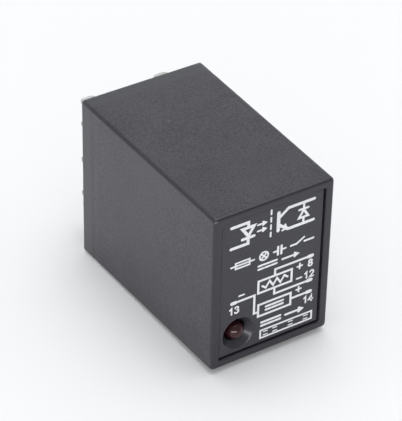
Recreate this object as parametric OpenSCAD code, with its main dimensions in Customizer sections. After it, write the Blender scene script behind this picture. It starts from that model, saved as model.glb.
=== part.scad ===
// Plug-in solid state relay, lying on one narrow side.
// X runs across the label end, Y from the label end to the blade tips, Z up.
// The origin is under the middle of the whole object, on the surface it lies on.

/* [Case] */
// Width of the case at its open end
case_w = 21.5; // [20.5:0.1:26]
// Height of the case at its open end, as it lies
case_h = 28; // [27.5:0.1:34]
// Length of the case from the label end to the open end
case_l = 36; // [34:0.1:44]
// How far each side leans in from the open end to the label end
case_taper = 0.4; // [0.1:0.05:0.6]
// Wall around the works
case_wall = 1.3; // [1.1:0.05:1.6]
// Wall at the open end, outside the base
mouth_wall = 0.9; // [0.8:0.05:1]
// Rounding of the four long edges
long_round = 0.6; // [0.4:0.05:1]
// Rounding of the edges round the label end
end_round = 0.5; // [0.2:0.05:0.6]
// Thickness of the label end, rim face to inside
end_wall = 2.2; // [2:0.05:2.7]

/* [Front plate] */
// Width of the rim round the front plate
rim_w = 1.4; // [1.1:0.05:1.8]
// Thickness of the front plate
plate_t = 1.1; // [0.9:0.05:1.2]
// How far the front plate sits below the rim
plate_recess = 0.3; // [0.1:0.05:0.5]
// Gap beside the plate on the two sides it is pushed up to
gap_tight = 0.1; // [0.05:0.01:0.2]
// Gap beside the plate on the other two sides
gap_open = 0.3; // [0.1:0.05:0.5]
// Diameter of the locating pegs on the back of the plate
peg_d = 1.2; // [0.8:0.1:1.6]

/* [Indicator] */
// Lamp axis from the left of the label end
led_from_left = 4.85; // [4.6:0.05:6]
// Lamp axis from the bottom of the label end
led_from_bottom = 5; // [4.6:0.05:7]
// Diameter of the lamp
led_d = 3; // [2.5:0.1:3.6]
// Height of the lamp, flange to tip
led_h = 5.8; // [5:0.1:6.4]
// Diameter of the dish at the plate's surface
dish_d = 5.6; // [5:0.1:6]
// How far the lamp's tip stands out of the plate's surface
led_proud = 0.25; // [-0.4:0.05:0.25]

/* [Base] */
// Thickness of the base
base_t = 3; // [2.6:0.1:3.6]
// How far the base sits inside the open end
base_recess = 0.5; // [0.3:0.05:0.8]
// Height of the skirt on the inside of the base
skirt_h = 2; // [1.6:0.1:2.6]
// Thickness of the skirt
skirt_t = 1; // [0.8:0.05:1.2]
// Clearance between the base and the case, each side
base_fit = 0.15; // [0.12:0.01:0.25]
// Height of the snap ribs at their pressed-in height
snap_h = 0.12; // [0.05:0.01:0.12]

/* [Blades] */
// Length of a blade outside the base
blade_l = 6.4; // [5.4:0.1:7.7]
// Width of a blade
blade_w = 2.6; // [2.2:0.1:3.1]
// Thickness of a blade
blade_t = 0.5; // [0.4:0.05:0.6]
// Distance from the side of the case to the middle of a column of blades
column_inset = 4.15; // [4.1:0.05:4.6]
// Distance from the top of the case to the first row
first_row = 4.1; // [4:0.05:5]
// Pitch from the first row to the second
pitch_1 = 4.1; // [3.8:0.05:4.6]
// Pitch from the second row to the third
pitch_2 = 6.6; // [6:0.05:7]
// Pitch from the third row to the fourth
pitch_3 = 6.35; // [6:0.05:7]

/* [Circuit board] */
// Thickness of the circuit board
board_t = 1.2; // [1:0.1:1.6]
// Clearance of the board to the case above and below
board_side_gap = 1; // [0.8:0.1:1.4]
// How far leads stand out of the solder side
lead_out = 0.8; // [0.5:0.1:1]

/* [Heat sink] */
// Thickness of the heat sink sheet
sink_t = 1.5; // [1.2:0.1:1.8]
// Height of the heat sink
sink_h = 21.6; // [18:0.1:22]
// Width of the flange across the label end
flange_w = 8; // [5:0.1:9]
// Inside radius of the bend
bend_r = 1; // [0.8:0.1:1.4]

/* [Hidden] */

$fn = 48;
corner_fn = 32;        // facets of a full turn on the case's rounded edges
skin = 0.01;           // thickness of the slices that a hull is drawn over
over = 1;              // how far a cut runs past the face that it opens

// Lengthways places
overall_l = case_l - base_recess + blade_l;
front_y = -overall_l / 2;
rear_y = front_y + case_l;
base_out_y = rear_y - base_recess;
base_in_y = base_out_y - base_t;
seat_gap = 0.05;              // between the skirt and the step it comes down to
skirt_y = base_in_y - skirt_h;
mid_z = case_h / 2;

// The case's section at any length
function lean(y) = case_taper * (rear_y - y) / case_l;
front_w = case_w - 2 * case_taper;
front_h = case_h - 2 * case_taper;
cavity_y = front_y + end_wall;
cavity_round = 0.4;
pocket_w = case_w - 2 * mouth_wall;
pocket_h = case_h - 2 * mouth_wall;
pocket_round = 0.5;

// Front plate
plate_y = front_y + plate_recess;
plate_back_y = plate_y + plate_t;
plate_w = front_w - 2 * rim_w - gap_tight - gap_open;
plate_h = front_h - 2 * rim_w - gap_tight - gap_open;
plate_shift = (gap_open - gap_tight) / 2;
plate_round = 0.3;
peg_fit = 0.05;
peg_short = 0.1;              // how far the pegs end inside the wall
peg_inset = 2.2;
peg_x = plate_w / 2 - peg_inset;
peg_z = plate_h / 2 - peg_inset;
peg_spots = [[peg_x, mid_z + peg_z], [-peg_x, mid_z + peg_z], [peg_x, mid_z - peg_z]];

// Indicator lamp
led_x = -front_w / 2 + led_from_left;
led_z = case_taper + led_from_bottom;
led_fit = 0.3;
dish_hole_d = led_d + 2 * led_fit;
web_hole_d = dish_hole_d + 2 * led_fit;
led_flange_d = led_d + 0.8;
led_flange_h = 1;
led_tip_y = plate_y - led_proud;
led_seat_y = led_tip_y + led_h;
led_lead_t = 0.5;

// Base
base_w = pocket_w - 2 * base_fit;
base_h = pocket_h - 2 * base_fit;
base_round = 0.4;
snap_y = base_in_y + 0.1;     // middle of the snap rib
snap_w = 1;                   // width of the rib at its foot
snap_l = 10;                  // length of a rib
snap_root = 0.3;              // how deep a rib is rooted in the base
groove_deep = 0.2;
groove_slack = 0.15;
relief_deep = 0.8;            // shallow pocket in the middle of the outer face
relief_side = 1;              // from the pocket to the blades' shoulders
relief_end = 3.5;             // from the pocket to the base's short sides

// Blades: two columns and four rows
column_x = case_w / 2 - column_inset;
row_1 = case_h - first_row;
row_2 = row_1 - pitch_1;
row_3 = row_2 - pitch_2;
row_4 = row_3 - pitch_3;
rows = [row_1, row_2, row_3, row_4];
shoulder_step = 0.5;
shoulder_w = blade_w + 2 * shoulder_step;
shoulder_l = 1.2;
slot_fit = 0.05;
tail_l = 4;
tail_cut = 0.8;               // how much narrower than the blade its tail is
tail_w = blade_w - tail_cut;
tip_cut = 0.7;
eye_from_tip = 3.1;
eye_w = 1.2;                  // elongated eye in each blade
eye_l = 2.2;

// Circuit board, upright beside the left column of blades
board_from_column = 0.2;
board_x = board_from_column - column_x;    // component side
board_back_x = board_x - board_t;
board_from_lamp = 0.6;
board_front_y = led_seat_y + board_from_lamp;
board_groove = 0.6;           // how deep its rear edge stands in the base
board_rear_y = base_in_y + board_groove;
board_z = case_taper + case_wall + board_side_gap;
board_h = case_h - 2 * board_z;
board_fit = 0.1;
notch_fit = 0.1;
lead_end_x = board_back_x - lead_out;
hole_fit = 0.1;
solder_foot = 0.2;            // how far solder spreads round a hole
solder_h = 0.6;

// Places on the board: distance behind its front edge, height from its middle
function on_board(p) = [board_front_y + p[0], mid_z + p[1]];
wire_d = 0.55;                // lead wire of axial parts
strip_t = 0.5;                // thickness of sheet leads
led_lead_pitch = 2.54;
led_lead_in = 2.2;            // from the board's front edge to the lamp's leads
led_lead_y = board_front_y + led_lead_in;
axial_stand = 0.2;            // from the board to the bodies of axial parts

input_resistor = [[6, -9.3], [18.5, -9.3]];
input_resistor_d = 3;
input_resistor_l = 8.5;
small_resistors = [for (v = [4.7, 7.2, 9.7]) [[1.4, v], [8.9, v]]];
small_resistor_d = 1.9;
small_resistor_l = 3.6;
input_diode = [[12.75, -6.1], [20.25, -6.1]];
input_diode_d = 2.2;
input_diode_l = 4;
flyback_diode = [[20, -2.4], [20, 7.6]];
flyback_diode_d = 2.7;
flyback_diode_l = 5.2;
zener_diode = [[10.2, 5.9], [15.7, 5.9]];
zener_diode_d = 1.8;
zener_diode_l = 3.6;

axial_parts = concat([input_resistor, input_diode, flyback_diode, zener_diode], small_resistors);

limiters = [[4.6, -3.3], [4.6, 1.1]];
limiter_d = 4.8;
limiter_flat = 1.4;           // from the axis to the flat
limiter_h = 4.8;
limiter_stand = 1.2;
limiter_pitch = 1.27;
limiter_lead = 0.45;

coupler = [12, -0.3];
coupler_l = 4.6;
coupler_w = 6.5;
coupler_t = 3.5;
coupler_stand = 0.5;
coupler_pitch = 2.54;
coupler_rows = 7.62;
coupler_lead_w = 0.6;
coupler_slope = 0.3;          // how far its sides lean in
coupler_low = 1.2;            // its sides are upright between these two heights
coupler_high = 2.3;

absorber = [14.5, 9.2];
absorber_d = 7;
absorber_t = 3.2;
absorber_pitch = 5;
capacitor = [9.4, -6.4];
capacitor_d = 5;
capacitor_t = 2.1;
capacitor_pitch = 2.54;
disc_stand = 0.8;

// Heat sink, upright on the right
sink_gap = 0.5;
sink_out_x = front_w / 2 - case_wall - sink_gap;
sink_x = sink_out_x - sink_t;
sink_front_gap = 0.7;
sink_front_y = cavity_y + sink_front_gap;
tongue_w = 4;
tongue_deep = 2;
sink_tail_gap = 0.7;
sink_rear_y = base_in_y - tail_l - sink_tail_gap;
tongue_spots = [(row_2 + row_3) / 2, (row_3 + row_4) / 2];

// Power transistor, clamped flat on the heat sink
pad_t = 0.25;
tab_t = 1.3;
tab_x = sink_x - pad_t;       // back of the metal tab
transistor_w = 10.2;
transistor_l = 15.9;
body_l = 9.2;
body_t = 4.5;
tab_gap = 0.2;                // from the bend to the tab
transistor_y = sink_front_y + sink_t + bend_r + tab_gap;
transistor_up = 2.5;          // above the middle of the case
transistor_z = mid_z + transistor_up;
body_y = transistor_y + transistor_l - body_l;
lead_drop = 2.7;              // from the tab's back to the middle of the leads
lead_x = tab_x - lead_drop;
lead_pitch = 2.54;
lead_w = 0.8;
lead_bend_r = 0.6;
lead_run = 2;
lead_y = body_y + body_l + lead_run + lead_bend_r;
screw_in = 2.8;               // from the tab's edge to its hole
screw_y = transistor_y + screw_in;
screw_d = 2.94;
screw_fit = 0.03;
head_d = 5.5;
head_h = 2;
head_dome = 0.4;
recess_l = 3;                 // cross recess in the head
recess_w = 0.7;
recess_deep = 1.2;
washer_d = 5.2;
washer_t = 0.8;
washer_fit = 0.15;
washer_gap = 0.5;             // cut through one side of the washer
tab_hole_d = 3.8;
pad_hole_d = 4.2;
bush_d = 6;                   // flange of the insulating bush
bush_t = 0.6;
bush_fit = 0.05;
bush_x = tab_x - tab_t - bush_t;
pad_margin = 0.6;
pad_short = 0.1;              // how far the pad reaches past the tab's end

// Link wire from terminal 13 to the board
link_d = 0.6;
link_in = 3.2;                // from the base
link_up = 2.15;               // from the blade to the run across
link_side = 0.2;              // from the middle of the column of blades
link_y = base_in_y - link_in;
link_z = row_4 + link_up;
link_x = column_x - link_side;
link_bend = 0.9;
sleeve_d = 1.3;
sleeve_fit = 0.03;
sleeve_end = 1;

// ---- Shared shapes ----

module rounded(w, h, r, n = 48) {
    square([w - 2 * r, h], center = true);
    square([w, h - 2 * r], center = true);
    for (sx = [-1, 1], sz = [-1, 1])
        translate([sx * (w / 2 - r), sz * (h / 2 - r)])
            circle(r, $fn = n);
}

// A rounded block between two places along Y, centred on the case
module slab(w, h, r, y0, y1, n = 48) {
    translate([0, y1, mid_z])
        rotate([90, 0, 0])
            linear_extrude(y1 - y0)
                rounded(w, h, r, n);
}

// A plain block from its two corners
module block(a, b) {
    translate(a)
        cube(b - a);
}

module cylinder_y(d, y0, y1) {
    translate([0, y0, 0])
        rotate([-90, 0, 0])
            cylinder(d = d, h = y1 - y0);
}

module cylinder_x(d, x0, x1) {
    translate([x0, 0, 0])
        rotate([0, 90, 0])
            cylinder(d = d, h = x1 - x0);
}

// A wire of diameter d down from height h at p through the board, and a quarter turn
// into a run towards angle a in the board's plane, ending at distance run
module bent_wire(p, h, d, run, a, r) {
    translate([board_x, p[0], p[1]])
        rotate([a, 0, 0]) {
            cylinder_x(d, lead_end_x - board_x, h - r);
            translate([h - r, r, 0])
                rotate([0, 0, -90])
                    rotate_extrude(angle = 90)
                        translate([r, 0])
                            circle(d = d, $fn = 24);
            translate([h, 0, 0])
                cylinder_y(d, r, run);
        }
}

// ---- Case and front plate ----

module case_outside() {
    hull() {
        slab(case_w, case_h, long_round, rear_y - skin, rear_y, corner_fn);
        for (a = [0 : 15 : 90]) {
            y = front_y + end_round * (1 - sin(a));
            in = 2 * (lean(y) + end_round * (1 - cos(a)));
            slab(case_w - in, case_h - in, long_round, y, y + skin, corner_fn);
        }
    }
}

module case_hollow() {
    in_front = 2 * (lean(cavity_y) + case_wall);
    in_rear = 2 * (lean(rear_y) + case_wall);
    hull() {
        slab(case_w - in_front, case_h - in_front, cavity_round, cavity_y, cavity_y + skin, corner_fn);
        slab(case_w - in_rear, case_h - in_rear, cavity_round, rear_y, rear_y + skin, corner_fn);
    }
}

module case() {
    color("#3b3c3f")
        difference() {
            case_outside();
            case_hollow();
            slab(pocket_w, pocket_h, pocket_round, skirt_y - seat_gap, rear_y + over);
            slab(front_w - 2 * rim_w, front_h - 2 * rim_w, plate_round, front_y - over, plate_back_y);
            translate([led_x, 0, led_z])
                cylinder_y(web_hole_d, front_y, cavity_y + over);
            for (p = peg_spots)
                translate([p[0] - plate_shift, 0, p[1] + plate_shift])
                    cylinder_y(peg_d + 2 * peg_fit, front_y, cavity_y + over);
            for (s = [-1, 1])
                snap_rib(s, groove_deep, snap_w + 2 * groove_slack, snap_l + 2 * groove_slack, base_fit);
        }
}

module front_plate() {
    color("#26272b")
        difference() {
            translate([-plate_shift, 0, plate_shift]) {
                slab(plate_w, plate_h, plate_round, plate_y, plate_back_y);
                for (p = peg_spots)
                    translate([p[0], 0, p[1]])
                        cylinder_y(peg_d, plate_back_y, cavity_y - peg_short);
            }
            translate([led_x, plate_y, led_z])
                rotate([-90, 0, 0])
                    cylinder(d1 = dish_d, d2 = dish_hole_d, h = plate_t);
            translate([led_x, 0, led_z])
                cylinder_y(dish_hole_d, plate_y, plate_back_y + over);
        }
}

// ---- Base and blades ----

// A long low rib with sloping flanks on side s, standing off the base's side
module snap_rib(s, h, w, l, start = 0) {
    foot = base_w / 2 + start;
    translate([0, snap_y, mid_z - l / 2])
        linear_extrude(l)
            polygon([
                [s * (foot - snap_root), -w / 2], [s * foot, -w / 2],
                [s * (foot + h), -w / 4], [s * (foot + h), w / 4],
                [s * foot, w / 2], [s * (foot - snap_root), w / 2]
            ]);
}

module base() {
    color("#2c2d30")
        difference() {
            union() {
                slab(base_w, base_h, base_round, skirt_y, base_out_y);
                for (s = [-1, 1])
                    snap_rib(s, snap_h, snap_w, snap_l);
            }
            slab(base_w - 2 * skirt_t, base_h - 2 * skirt_t, base_round, skirt_y - over, base_in_y);
            slab(2 * column_x - shoulder_w - 2 * relief_side, base_h - 2 * relief_end, base_round,
                 base_out_y - relief_deep, base_out_y + over);
            for (s = [-1, 1], z = rows)
                blade_slot(s, z);
            block([board_back_x - board_fit, base_in_y - over, board_z - board_fit],
                  [board_x + board_fit, board_rear_y + board_fit, board_z + board_h + board_fit]);
            for (z = tongue_spots)
                block([sink_x - slot_fit, base_in_y - over, z - tongue_w / 2 - slot_fit],
                      [sink_out_x + slot_fit, base_in_y + tongue_deep + slot_fit,
                       z + tongue_w / 2 + slot_fit]);
        }
}

module blade_slot(s, z) {
    t = blade_t + 2 * slot_fit;
    block([s * column_x - blade_w / 2 - slot_fit, base_in_y - over, z - t / 2],
          [s * column_x + blade_w / 2 + slot_fit, base_out_y + over, z + t / 2]);
    block([s * column_x - shoulder_w / 2 - slot_fit, base_in_y - over, z - t / 2],
          [s * column_x + shoulder_w / 2 + slot_fit, base_in_y + shoulder_l + slot_fit, z + t / 2]);
}

// One blade: tail inside, shoulder in the base, eye and cut corners outside
module terminal(s, z) {
    tip_y = base_out_y + blade_l;
    half = blade_w / 2;
    eye_y = tip_y - eye_from_tip;
    color("#c9c7c0")
        translate([s * column_x, 0, z - blade_t / 2])
            difference() {
                linear_extrude(blade_t)
                    polygon([
                        [s * half, base_in_y - tail_l],
                        [s * (half - tail_w), base_in_y - tail_l],
                        [s * (half - tail_w), base_in_y],
                        [-s * shoulder_w / 2, base_in_y],
                        [-s * shoulder_w / 2, base_in_y + shoulder_l],
                        [-s * half, base_in_y + shoulder_l],
                        [-s * half, tip_y - tip_cut],
                        [-s * (half - tip_cut), tip_y],
                        [s * (half - tip_cut), tip_y],
                        [s * half, tip_y - tip_cut],
                        [s * half, base_in_y + shoulder_l],
                        [s * shoulder_w / 2, base_in_y + shoulder_l],
                        [s * shoulder_w / 2, base_in_y],
                        [s * half, base_in_y]
                    ]);
                for (e = [-1, 1])
                    translate([0, eye_y + e * (eye_l - eye_w) / 2, -over])
                        cylinder(d = eye_w, h = blade_t + 2 * over);
                translate([-eye_w / 2, eye_y - (eye_l - eye_w) / 2, -over])
                    cube([eye_w, eye_l - eye_w, blade_t + 2 * over]);
            }
}

// ---- Circuit board ----

function coupler_pins() = [
    for (u = [-1, 1], v = [-1, 1])
        on_board(coupler) + [u * coupler_pitch / 2, v * coupler_rows / 2]
];
function led_pins() = [for (v = [-1, 1]) [led_lead_y, led_z + v * led_lead_pitch / 2]];
function limiter_pins() = [
    for (c = limiters, k = [-1, 0, 1])
        on_board(c) + [k * limiter_pitch, 0]
];
function transistor_pins() = [for (k = [-1, 0, 1]) [lead_y, transistor_z + k * lead_pitch]];
function disc_pins(c, pitch) = [for (k = [-1, 1]) on_board(c) + [k * pitch / 2, 0]];
function axial_pins(part) = [for (p = part) on_board(p)];

// Every group of leads through the board: its places and its hole's diameter
wire_hole = wire_d + 2 * hole_fit;
hole_groups = concat(
    [for (part = axial_parts) [axial_pins(part), wire_hole]],
    [
        [disc_pins(absorber, absorber_pitch), wire_hole],
        [disc_pins(capacitor, capacitor_pitch), wire_hole],
        [[[link_y, link_z]], link_d + 2 * hole_fit],
        [limiter_pins(), limiter_lead * sqrt(2) + 2 * hole_fit],
        [led_pins(), led_lead_t * sqrt(2) + 2 * hole_fit],
        [coupler_pins(), norm([coupler_lead_w, strip_t]) + 2 * hole_fit],
        [transistor_pins(), norm([lead_w, strip_t]) + 2 * hole_fit]
    ]
);

module circuit_board() {
    color("#8a6a3c")
        difference() {
            block([board_back_x, board_front_y, board_z], [board_x, board_rear_y, board_z + board_h]);
            for (z = rows)
                block([board_back_x - over, base_in_y - tail_l - notch_fit, z - blade_t / 2 - notch_fit],
                      [board_x + over, board_rear_y + over, z + blade_t / 2 + notch_fit]);
            for (g = hole_groups, p = g[0])
                translate([0, p[0], p[1]])
                    cylinder_x(g[1], board_back_x - over, board_x + over);
        }
}

// A cone of solder round every lead, on the back of the board
module solder_joints() {
    color("#c2c3c4")
        for (g = hole_groups, p = g[0])
            translate([board_back_x, p[0], p[1]])
                rotate([0, -90, 0])
                    difference() {
                        cylinder(d1 = g[1] + 2 * solder_foot, d2 = g[1] + solder_foot / 2, h = solder_h);
                        translate([0, 0, -over])
                            cylinder(d = g[1], h = solder_h + 2 * over);
                    }
}

// ---- Parts with axial leads ----

function axial_angle(part) = part[0][0] == part[1][0] ? 90 : 0;
function axial_span(part) = norm(part[1] - part[0]);

module axial_body(part, d, l) {
    c = (on_board(part[0]) + on_board(part[1])) / 2;
    translate([board_x + d / 2 + axial_stand, c[0], c[1]])
        rotate([axial_angle(part), 0, 0])
            cylinder_y(d, -l / 2, l / 2);
}

module axial_leads(part, d, l) {
    run = (axial_span(part) - l) / 2;
    for (k = [0, 1])
        bent_wire(on_board(part[k]), d / 2 + axial_stand, wire_d, run, axial_angle(part) + 180 * k, wire_d);
}

module input_resistor_body() {
    color("#9db7c9")
        axial_body(input_resistor, input_resistor_d, input_resistor_l);
}

module input_resistor_leads() {
    color("#c9c7c0")
        axial_leads(input_resistor, input_resistor_d, input_resistor_l);
}

module small_resistor_bodies() {
    color("#cdb38a")
        for (part = small_resistors)
            axial_body(part, small_resistor_d, small_resistor_l);
}

module small_resistor_leads() {
    color("#c9c7c0")
        for (part = small_resistors)
            axial_leads(part, small_resistor_d, small_resistor_l);
}

module input_diode_body() {
    color("#1d1d1f")
        axial_body(input_diode, input_diode_d, input_diode_l);
}

module input_diode_leads() {
    color("#c9c7c0")
        axial_leads(input_diode, input_diode_d, input_diode_l);
}

module flyback_diode_body() {
    color("#1d1d1f")
        axial_body(flyback_diode, flyback_diode_d, flyback_diode_l);
}

module flyback_diode_leads() {
    color("#c9c7c0")
        axial_leads(flyback_diode, flyback_diode_d, flyback_diode_l);
}

module zener_diode_body() {
    color("#c4622d")
        axial_body(zener_diode, zener_diode_d, zener_diode_l);
}

module zener_diode_leads() {
    color("#c9c7c0")
        axial_leads(zener_diode, zener_diode_d, zener_diode_l);
}

// ---- Parts that stand on the board ----

module limiter_transistor_bodies() {
    color("#1d1d1f")
        for (c = limiters) {
            p = on_board(c);
            translate([board_x + limiter_stand, p[0], p[1]])
                intersection() {
                    cylinder_x(limiter_d, 0, limiter_h);
                    block([0, -limiter_d, -limiter_flat], [limiter_h, limiter_d, limiter_d]);
                }
        }
}

module limiter_transistor_leads() {
    h = limiter_lead / 2;
    color("#c9c7c0")
        for (p = limiter_pins())
            block([lead_end_x, p[0] - h, p[1] - h], [board_x + limiter_stand, p[0] + h, p[1] + h]);
}

module disc_body(c, d, t) {
    p = on_board(c);
    translate([board_x + disc_stand + d / 2, p[0], p[1] - t / 2])
        cylinder(d = d, h = t);
}

// The leads end where their inner sides meet the round of the disc
module disc_leads(c, pitch, d) {
    inner = pitch / 2 - wire_d / 2;
    foot = board_x + disc_stand + d / 2 - sqrt(pow(d / 2, 2) - pow(inner, 2));
    for (p = disc_pins(c, pitch))
        translate([0, p[0], p[1]])
            cylinder_x(wire_d, lead_end_x, foot);
}

module surge_absorber_body() {
    color("#2f5d86")
        disc_body(absorber, absorber_d, absorber_t);
}

module surge_absorber_leads() {
    color("#c9c7c0")
        disc_leads(absorber, absorber_pitch, absorber_d);
}

module capacitor_body() {
    color("#b5652b")
        disc_body(capacitor, capacitor_d, capacitor_t);
}

module capacitor_leads() {
    color("#c9c7c0")
        disc_leads(capacitor, capacitor_pitch, capacitor_d);
}

module photocoupler_body() {
    p = on_board(coupler);
    half = coupler_w / 2;
    color("#e6e2d6")
        translate([board_x + coupler_stand, p[0] + coupler_l / 2, p[1]])
            rotate([90, 0, 0])
                linear_extrude(coupler_l)
                    polygon([
                        [coupler_low, -half], [0, -half + coupler_slope], [0, half - coupler_slope],
                        [coupler_low, half], [coupler_high, half], [coupler_t, half - coupler_slope],
                        [coupler_t, -half + coupler_slope], [coupler_high, -half]
                    ]);
}

// Each lead leaves the body's side half way up and turns down through the board
module photocoupler_leads() {
    p = on_board(coupler);
    level = board_x + coupler_stand + (coupler_low + coupler_high) / 2;
    half = strip_t / 2;
    reach = coupler_rows / 2;
    color("#c9c7c0")
        for (u = [-1, 1], v = [-1, 1])
            translate([0, p[0] + u * coupler_pitch / 2 + coupler_lead_w / 2, p[1]])
                mirror([0, 0, v < 0 ? 1 : 0])
                    rotate([90, 0, 0])
                        linear_extrude(coupler_lead_w)
                            polygon([
                                [level - half, coupler_w / 2], [level + half, coupler_w / 2],
                                [level + half, reach], [level, reach + half],
                                [lead_end_x, reach + half], [lead_end_x, reach - half],
                                [level - half, reach - half]
                            ]);
}

// ---- Indicator lamp ----

module indicator_lens() {
    round_y = led_h - led_d / 2;
    color("#6e1418")
        translate([led_x, led_seat_y, led_z])
            rotate([90, 0, 0]) {
                cylinder(d = led_flange_d, h = led_flange_h);
                cylinder(d = led_d, h = round_y);
                translate([0, 0, round_y])
                    sphere(d = led_d);
            }
}

module indicator_leads() {
    h = led_lead_t / 2;
    color("#c9c7c0")
        for (p = led_pins()) {
            block([led_x - h, led_seat_y, p[1] - h], [led_x + h, p[0] + h, p[1] + h]);
            block([lead_end_x, p[0] - h, p[1] - h], [led_x + h, p[0] + h, p[1] + h]);
        }
}

// ---- Heat sink and power transistor ----

module heat_sink() {
    out_r = bend_r + sink_t;
    turn = [sink_out_x - out_r, sink_front_y + out_r];
    z0 = mid_z - sink_h / 2;
    color("#b9bcc0")
        difference() {
            union() {
                block([sink_x, turn[1], z0], [sink_out_x, sink_rear_y, z0 + sink_h]);
                block([sink_out_x - flange_w, sink_front_y, z0],
                      [turn[0], sink_front_y + sink_t, z0 + sink_h]);
                translate([turn[0], turn[1], z0])
                    rotate([0, 0, -90])
                        rotate_extrude(angle = 90)
                            translate([bend_r, 0])
                                square([sink_t, sink_h]);
                for (z = tongue_spots)
                    block([sink_x, sink_rear_y - over, z - tongue_w / 2],
                          [sink_out_x, base_in_y + tongue_deep, z + tongue_w / 2]);
            }
            translate([0, screw_y, transistor_z])
                cylinder_x(screw_d + 2 * screw_fit, sink_x - over, sink_out_x + over);
        }
}

module insulating_pad() {
    half = transistor_w / 2 + pad_margin;
    color("#9fb6a0")
        difference() {
            block([sink_x - pad_t, transistor_y - pad_short, transistor_z - half],
                  [sink_x, body_y + body_l + pad_margin, transistor_z + half]);
            translate([0, screw_y, transistor_z])
                cylinder_x(pad_hole_d, sink_x - over, sink_x + over);
        }
}

module power_transistor_body() {
    half = transistor_w / 2;
    color("#1d1d1f")
        translate([0, body_y, transistor_z])
            difference() {
                block([tab_x - body_t, 0, -half], [tab_x, body_l, half]);
                block([tab_x - tab_t, -over, -half - over], [tab_x + over, body_l - 1, half + over]);
            }
}

// The copper tab and the three leads of one lead frame
module power_transistor_frame() {
    half = transistor_w / 2;
    color("#b8b4aa") {
        difference() {
            block([tab_x - tab_t, transistor_y, transistor_z - half],
                  [tab_x, body_y + body_l - 1, transistor_z + half]);
            translate([0, screw_y, transistor_z])
                cylinder_x(tab_hole_d, tab_x - tab_t - over, tab_x + over);
        }
        for (p = transistor_pins())
            transistor_lead(p[1]);
    }
}

module transistor_lead(z) {
    translate([0, 0, z - lead_w / 2]) {
        block([lead_x - strip_t / 2, body_y + body_l, 0],
              [lead_x + strip_t / 2, lead_y - lead_bend_r, lead_w]);
        translate([lead_x - lead_bend_r, lead_y - lead_bend_r, 0])
            rotate_extrude(angle = 90)
                translate([lead_bend_r - strip_t / 2, 0])
                    square([strip_t, lead_w]);
        block([lead_end_x, lead_y - strip_t / 2, 0],
              [lead_x - lead_bend_r, lead_y + strip_t / 2, lead_w]);
    }
}

// Flange under the washer, collar in the hole of the tab
module insulating_bush() {
    color("#d8d2c0")
        translate([0, screw_y, transistor_z])
            difference() {
                union() {
                    cylinder_x(bush_d, bush_x, bush_x + bush_t);
                    cylinder_x(tab_hole_d - 2 * bush_fit, bush_x, tab_x - bush_fit);
                }
                cylinder_x(screw_d + 2 * bush_fit, bush_x - over, tab_x + over);
            }
}

module clamp_screw() {
    head_x = bush_x - washer_t;
    color("#c4c6c8")
        translate([0, screw_y, transistor_z])
            difference() {
                union() {
                    cylinder_x(screw_d, head_x, sink_out_x);
                    cylinder_x(head_d, head_x - head_h + head_dome, head_x);
                    translate([head_x - head_h, 0, 0])
                        rotate([0, 90, 0])
                            cylinder(d1 = head_d - 2 * head_dome, d2 = head_d, h = head_dome);
                }
                for (a = [0, 90])
                    rotate([a, 0, 0])
                        block([head_x - head_h - over, -recess_l / 2, -recess_w / 2],
                              [head_x - head_h + recess_deep, recess_l / 2, recess_w / 2]);
            }
}

module spring_washer() {
    color("#8d8f93")
        translate([0, screw_y, transistor_z])
            difference() {
                cylinder_x(washer_d, bush_x - washer_t, bush_x);
                cylinder_x(screw_d + 2 * washer_fit, bush_x - washer_t - over, bush_x + over);
                block([bush_x - washer_t - over, 0, -washer_gap / 2],
                      [bush_x + over, washer_d, washer_gap / 2]);
            }
}

// ---- Link wire ----

module link_wire() {
    color("#c9c7c0") {
        translate([link_x, link_y, row_4 + blade_t / 2])
            cylinder(d = link_d, h = link_z - link_bend - row_4 - blade_t / 2);
        translate([link_x - link_bend, link_y, link_z - link_bend])
            rotate([90, 0, 0])
                rotate_extrude(angle = 90)
                    translate([link_bend, 0])
                        circle(d = link_d, $fn = 24);
        translate([0, link_y, link_z])
            cylinder_x(link_d, lead_end_x, link_x - link_bend);
    }
}

module link_sleeve() {
    color("#c8b23a")
        translate([0, link_y, link_z])
            difference() {
                cylinder_x(sleeve_d, board_x + sleeve_end, link_x - link_bend - sleeve_end / 2);
                cylinder_x(link_d + 2 * sleeve_fit, board_x, link_x);
            }
}

// ---- Output: one node at a time, or all of them ----

case();
front_plate();
base();
terminal(1, row_1);  // terminal_1
terminal(-1, row_1);  // terminal_4
terminal(1, row_2);  // terminal_5
terminal(-1, row_2);  // terminal_8
terminal(1, row_3);  // terminal_9
terminal(-1, row_3);  // terminal_12
terminal(1, row_4);  // terminal_13
terminal(-1, row_4);  // terminal_14
circuit_board();
solder_joints();
heat_sink();
insulating_pad();
power_transistor_body();
power_transistor_frame();
insulating_bush();
spring_washer();
clamp_screw();
photocoupler_body();
photocoupler_leads();
indicator_lens();
indicator_leads();
input_resistor_body();
input_resistor_leads();
small_resistor_bodies();
small_resistor_leads();
limiter_transistor_bodies();
limiter_transistor_leads();
input_diode_body();
input_diode_leads();
flyback_diode_body();
flyback_diode_leads();
zener_diode_body();
zener_diode_leads();
surge_absorber_body();
surge_absorber_leads();
capacitor_body();
capacitor_leads();
link_wire();
link_sleeve();
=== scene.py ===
from math import atan2, cos, pi, radians, sin, sqrt, tan

import bmesh
import bpy
import numpy as np
from mathutils import Matrix, Vector
from mathutils.geometry import tessellate_polygon


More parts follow.
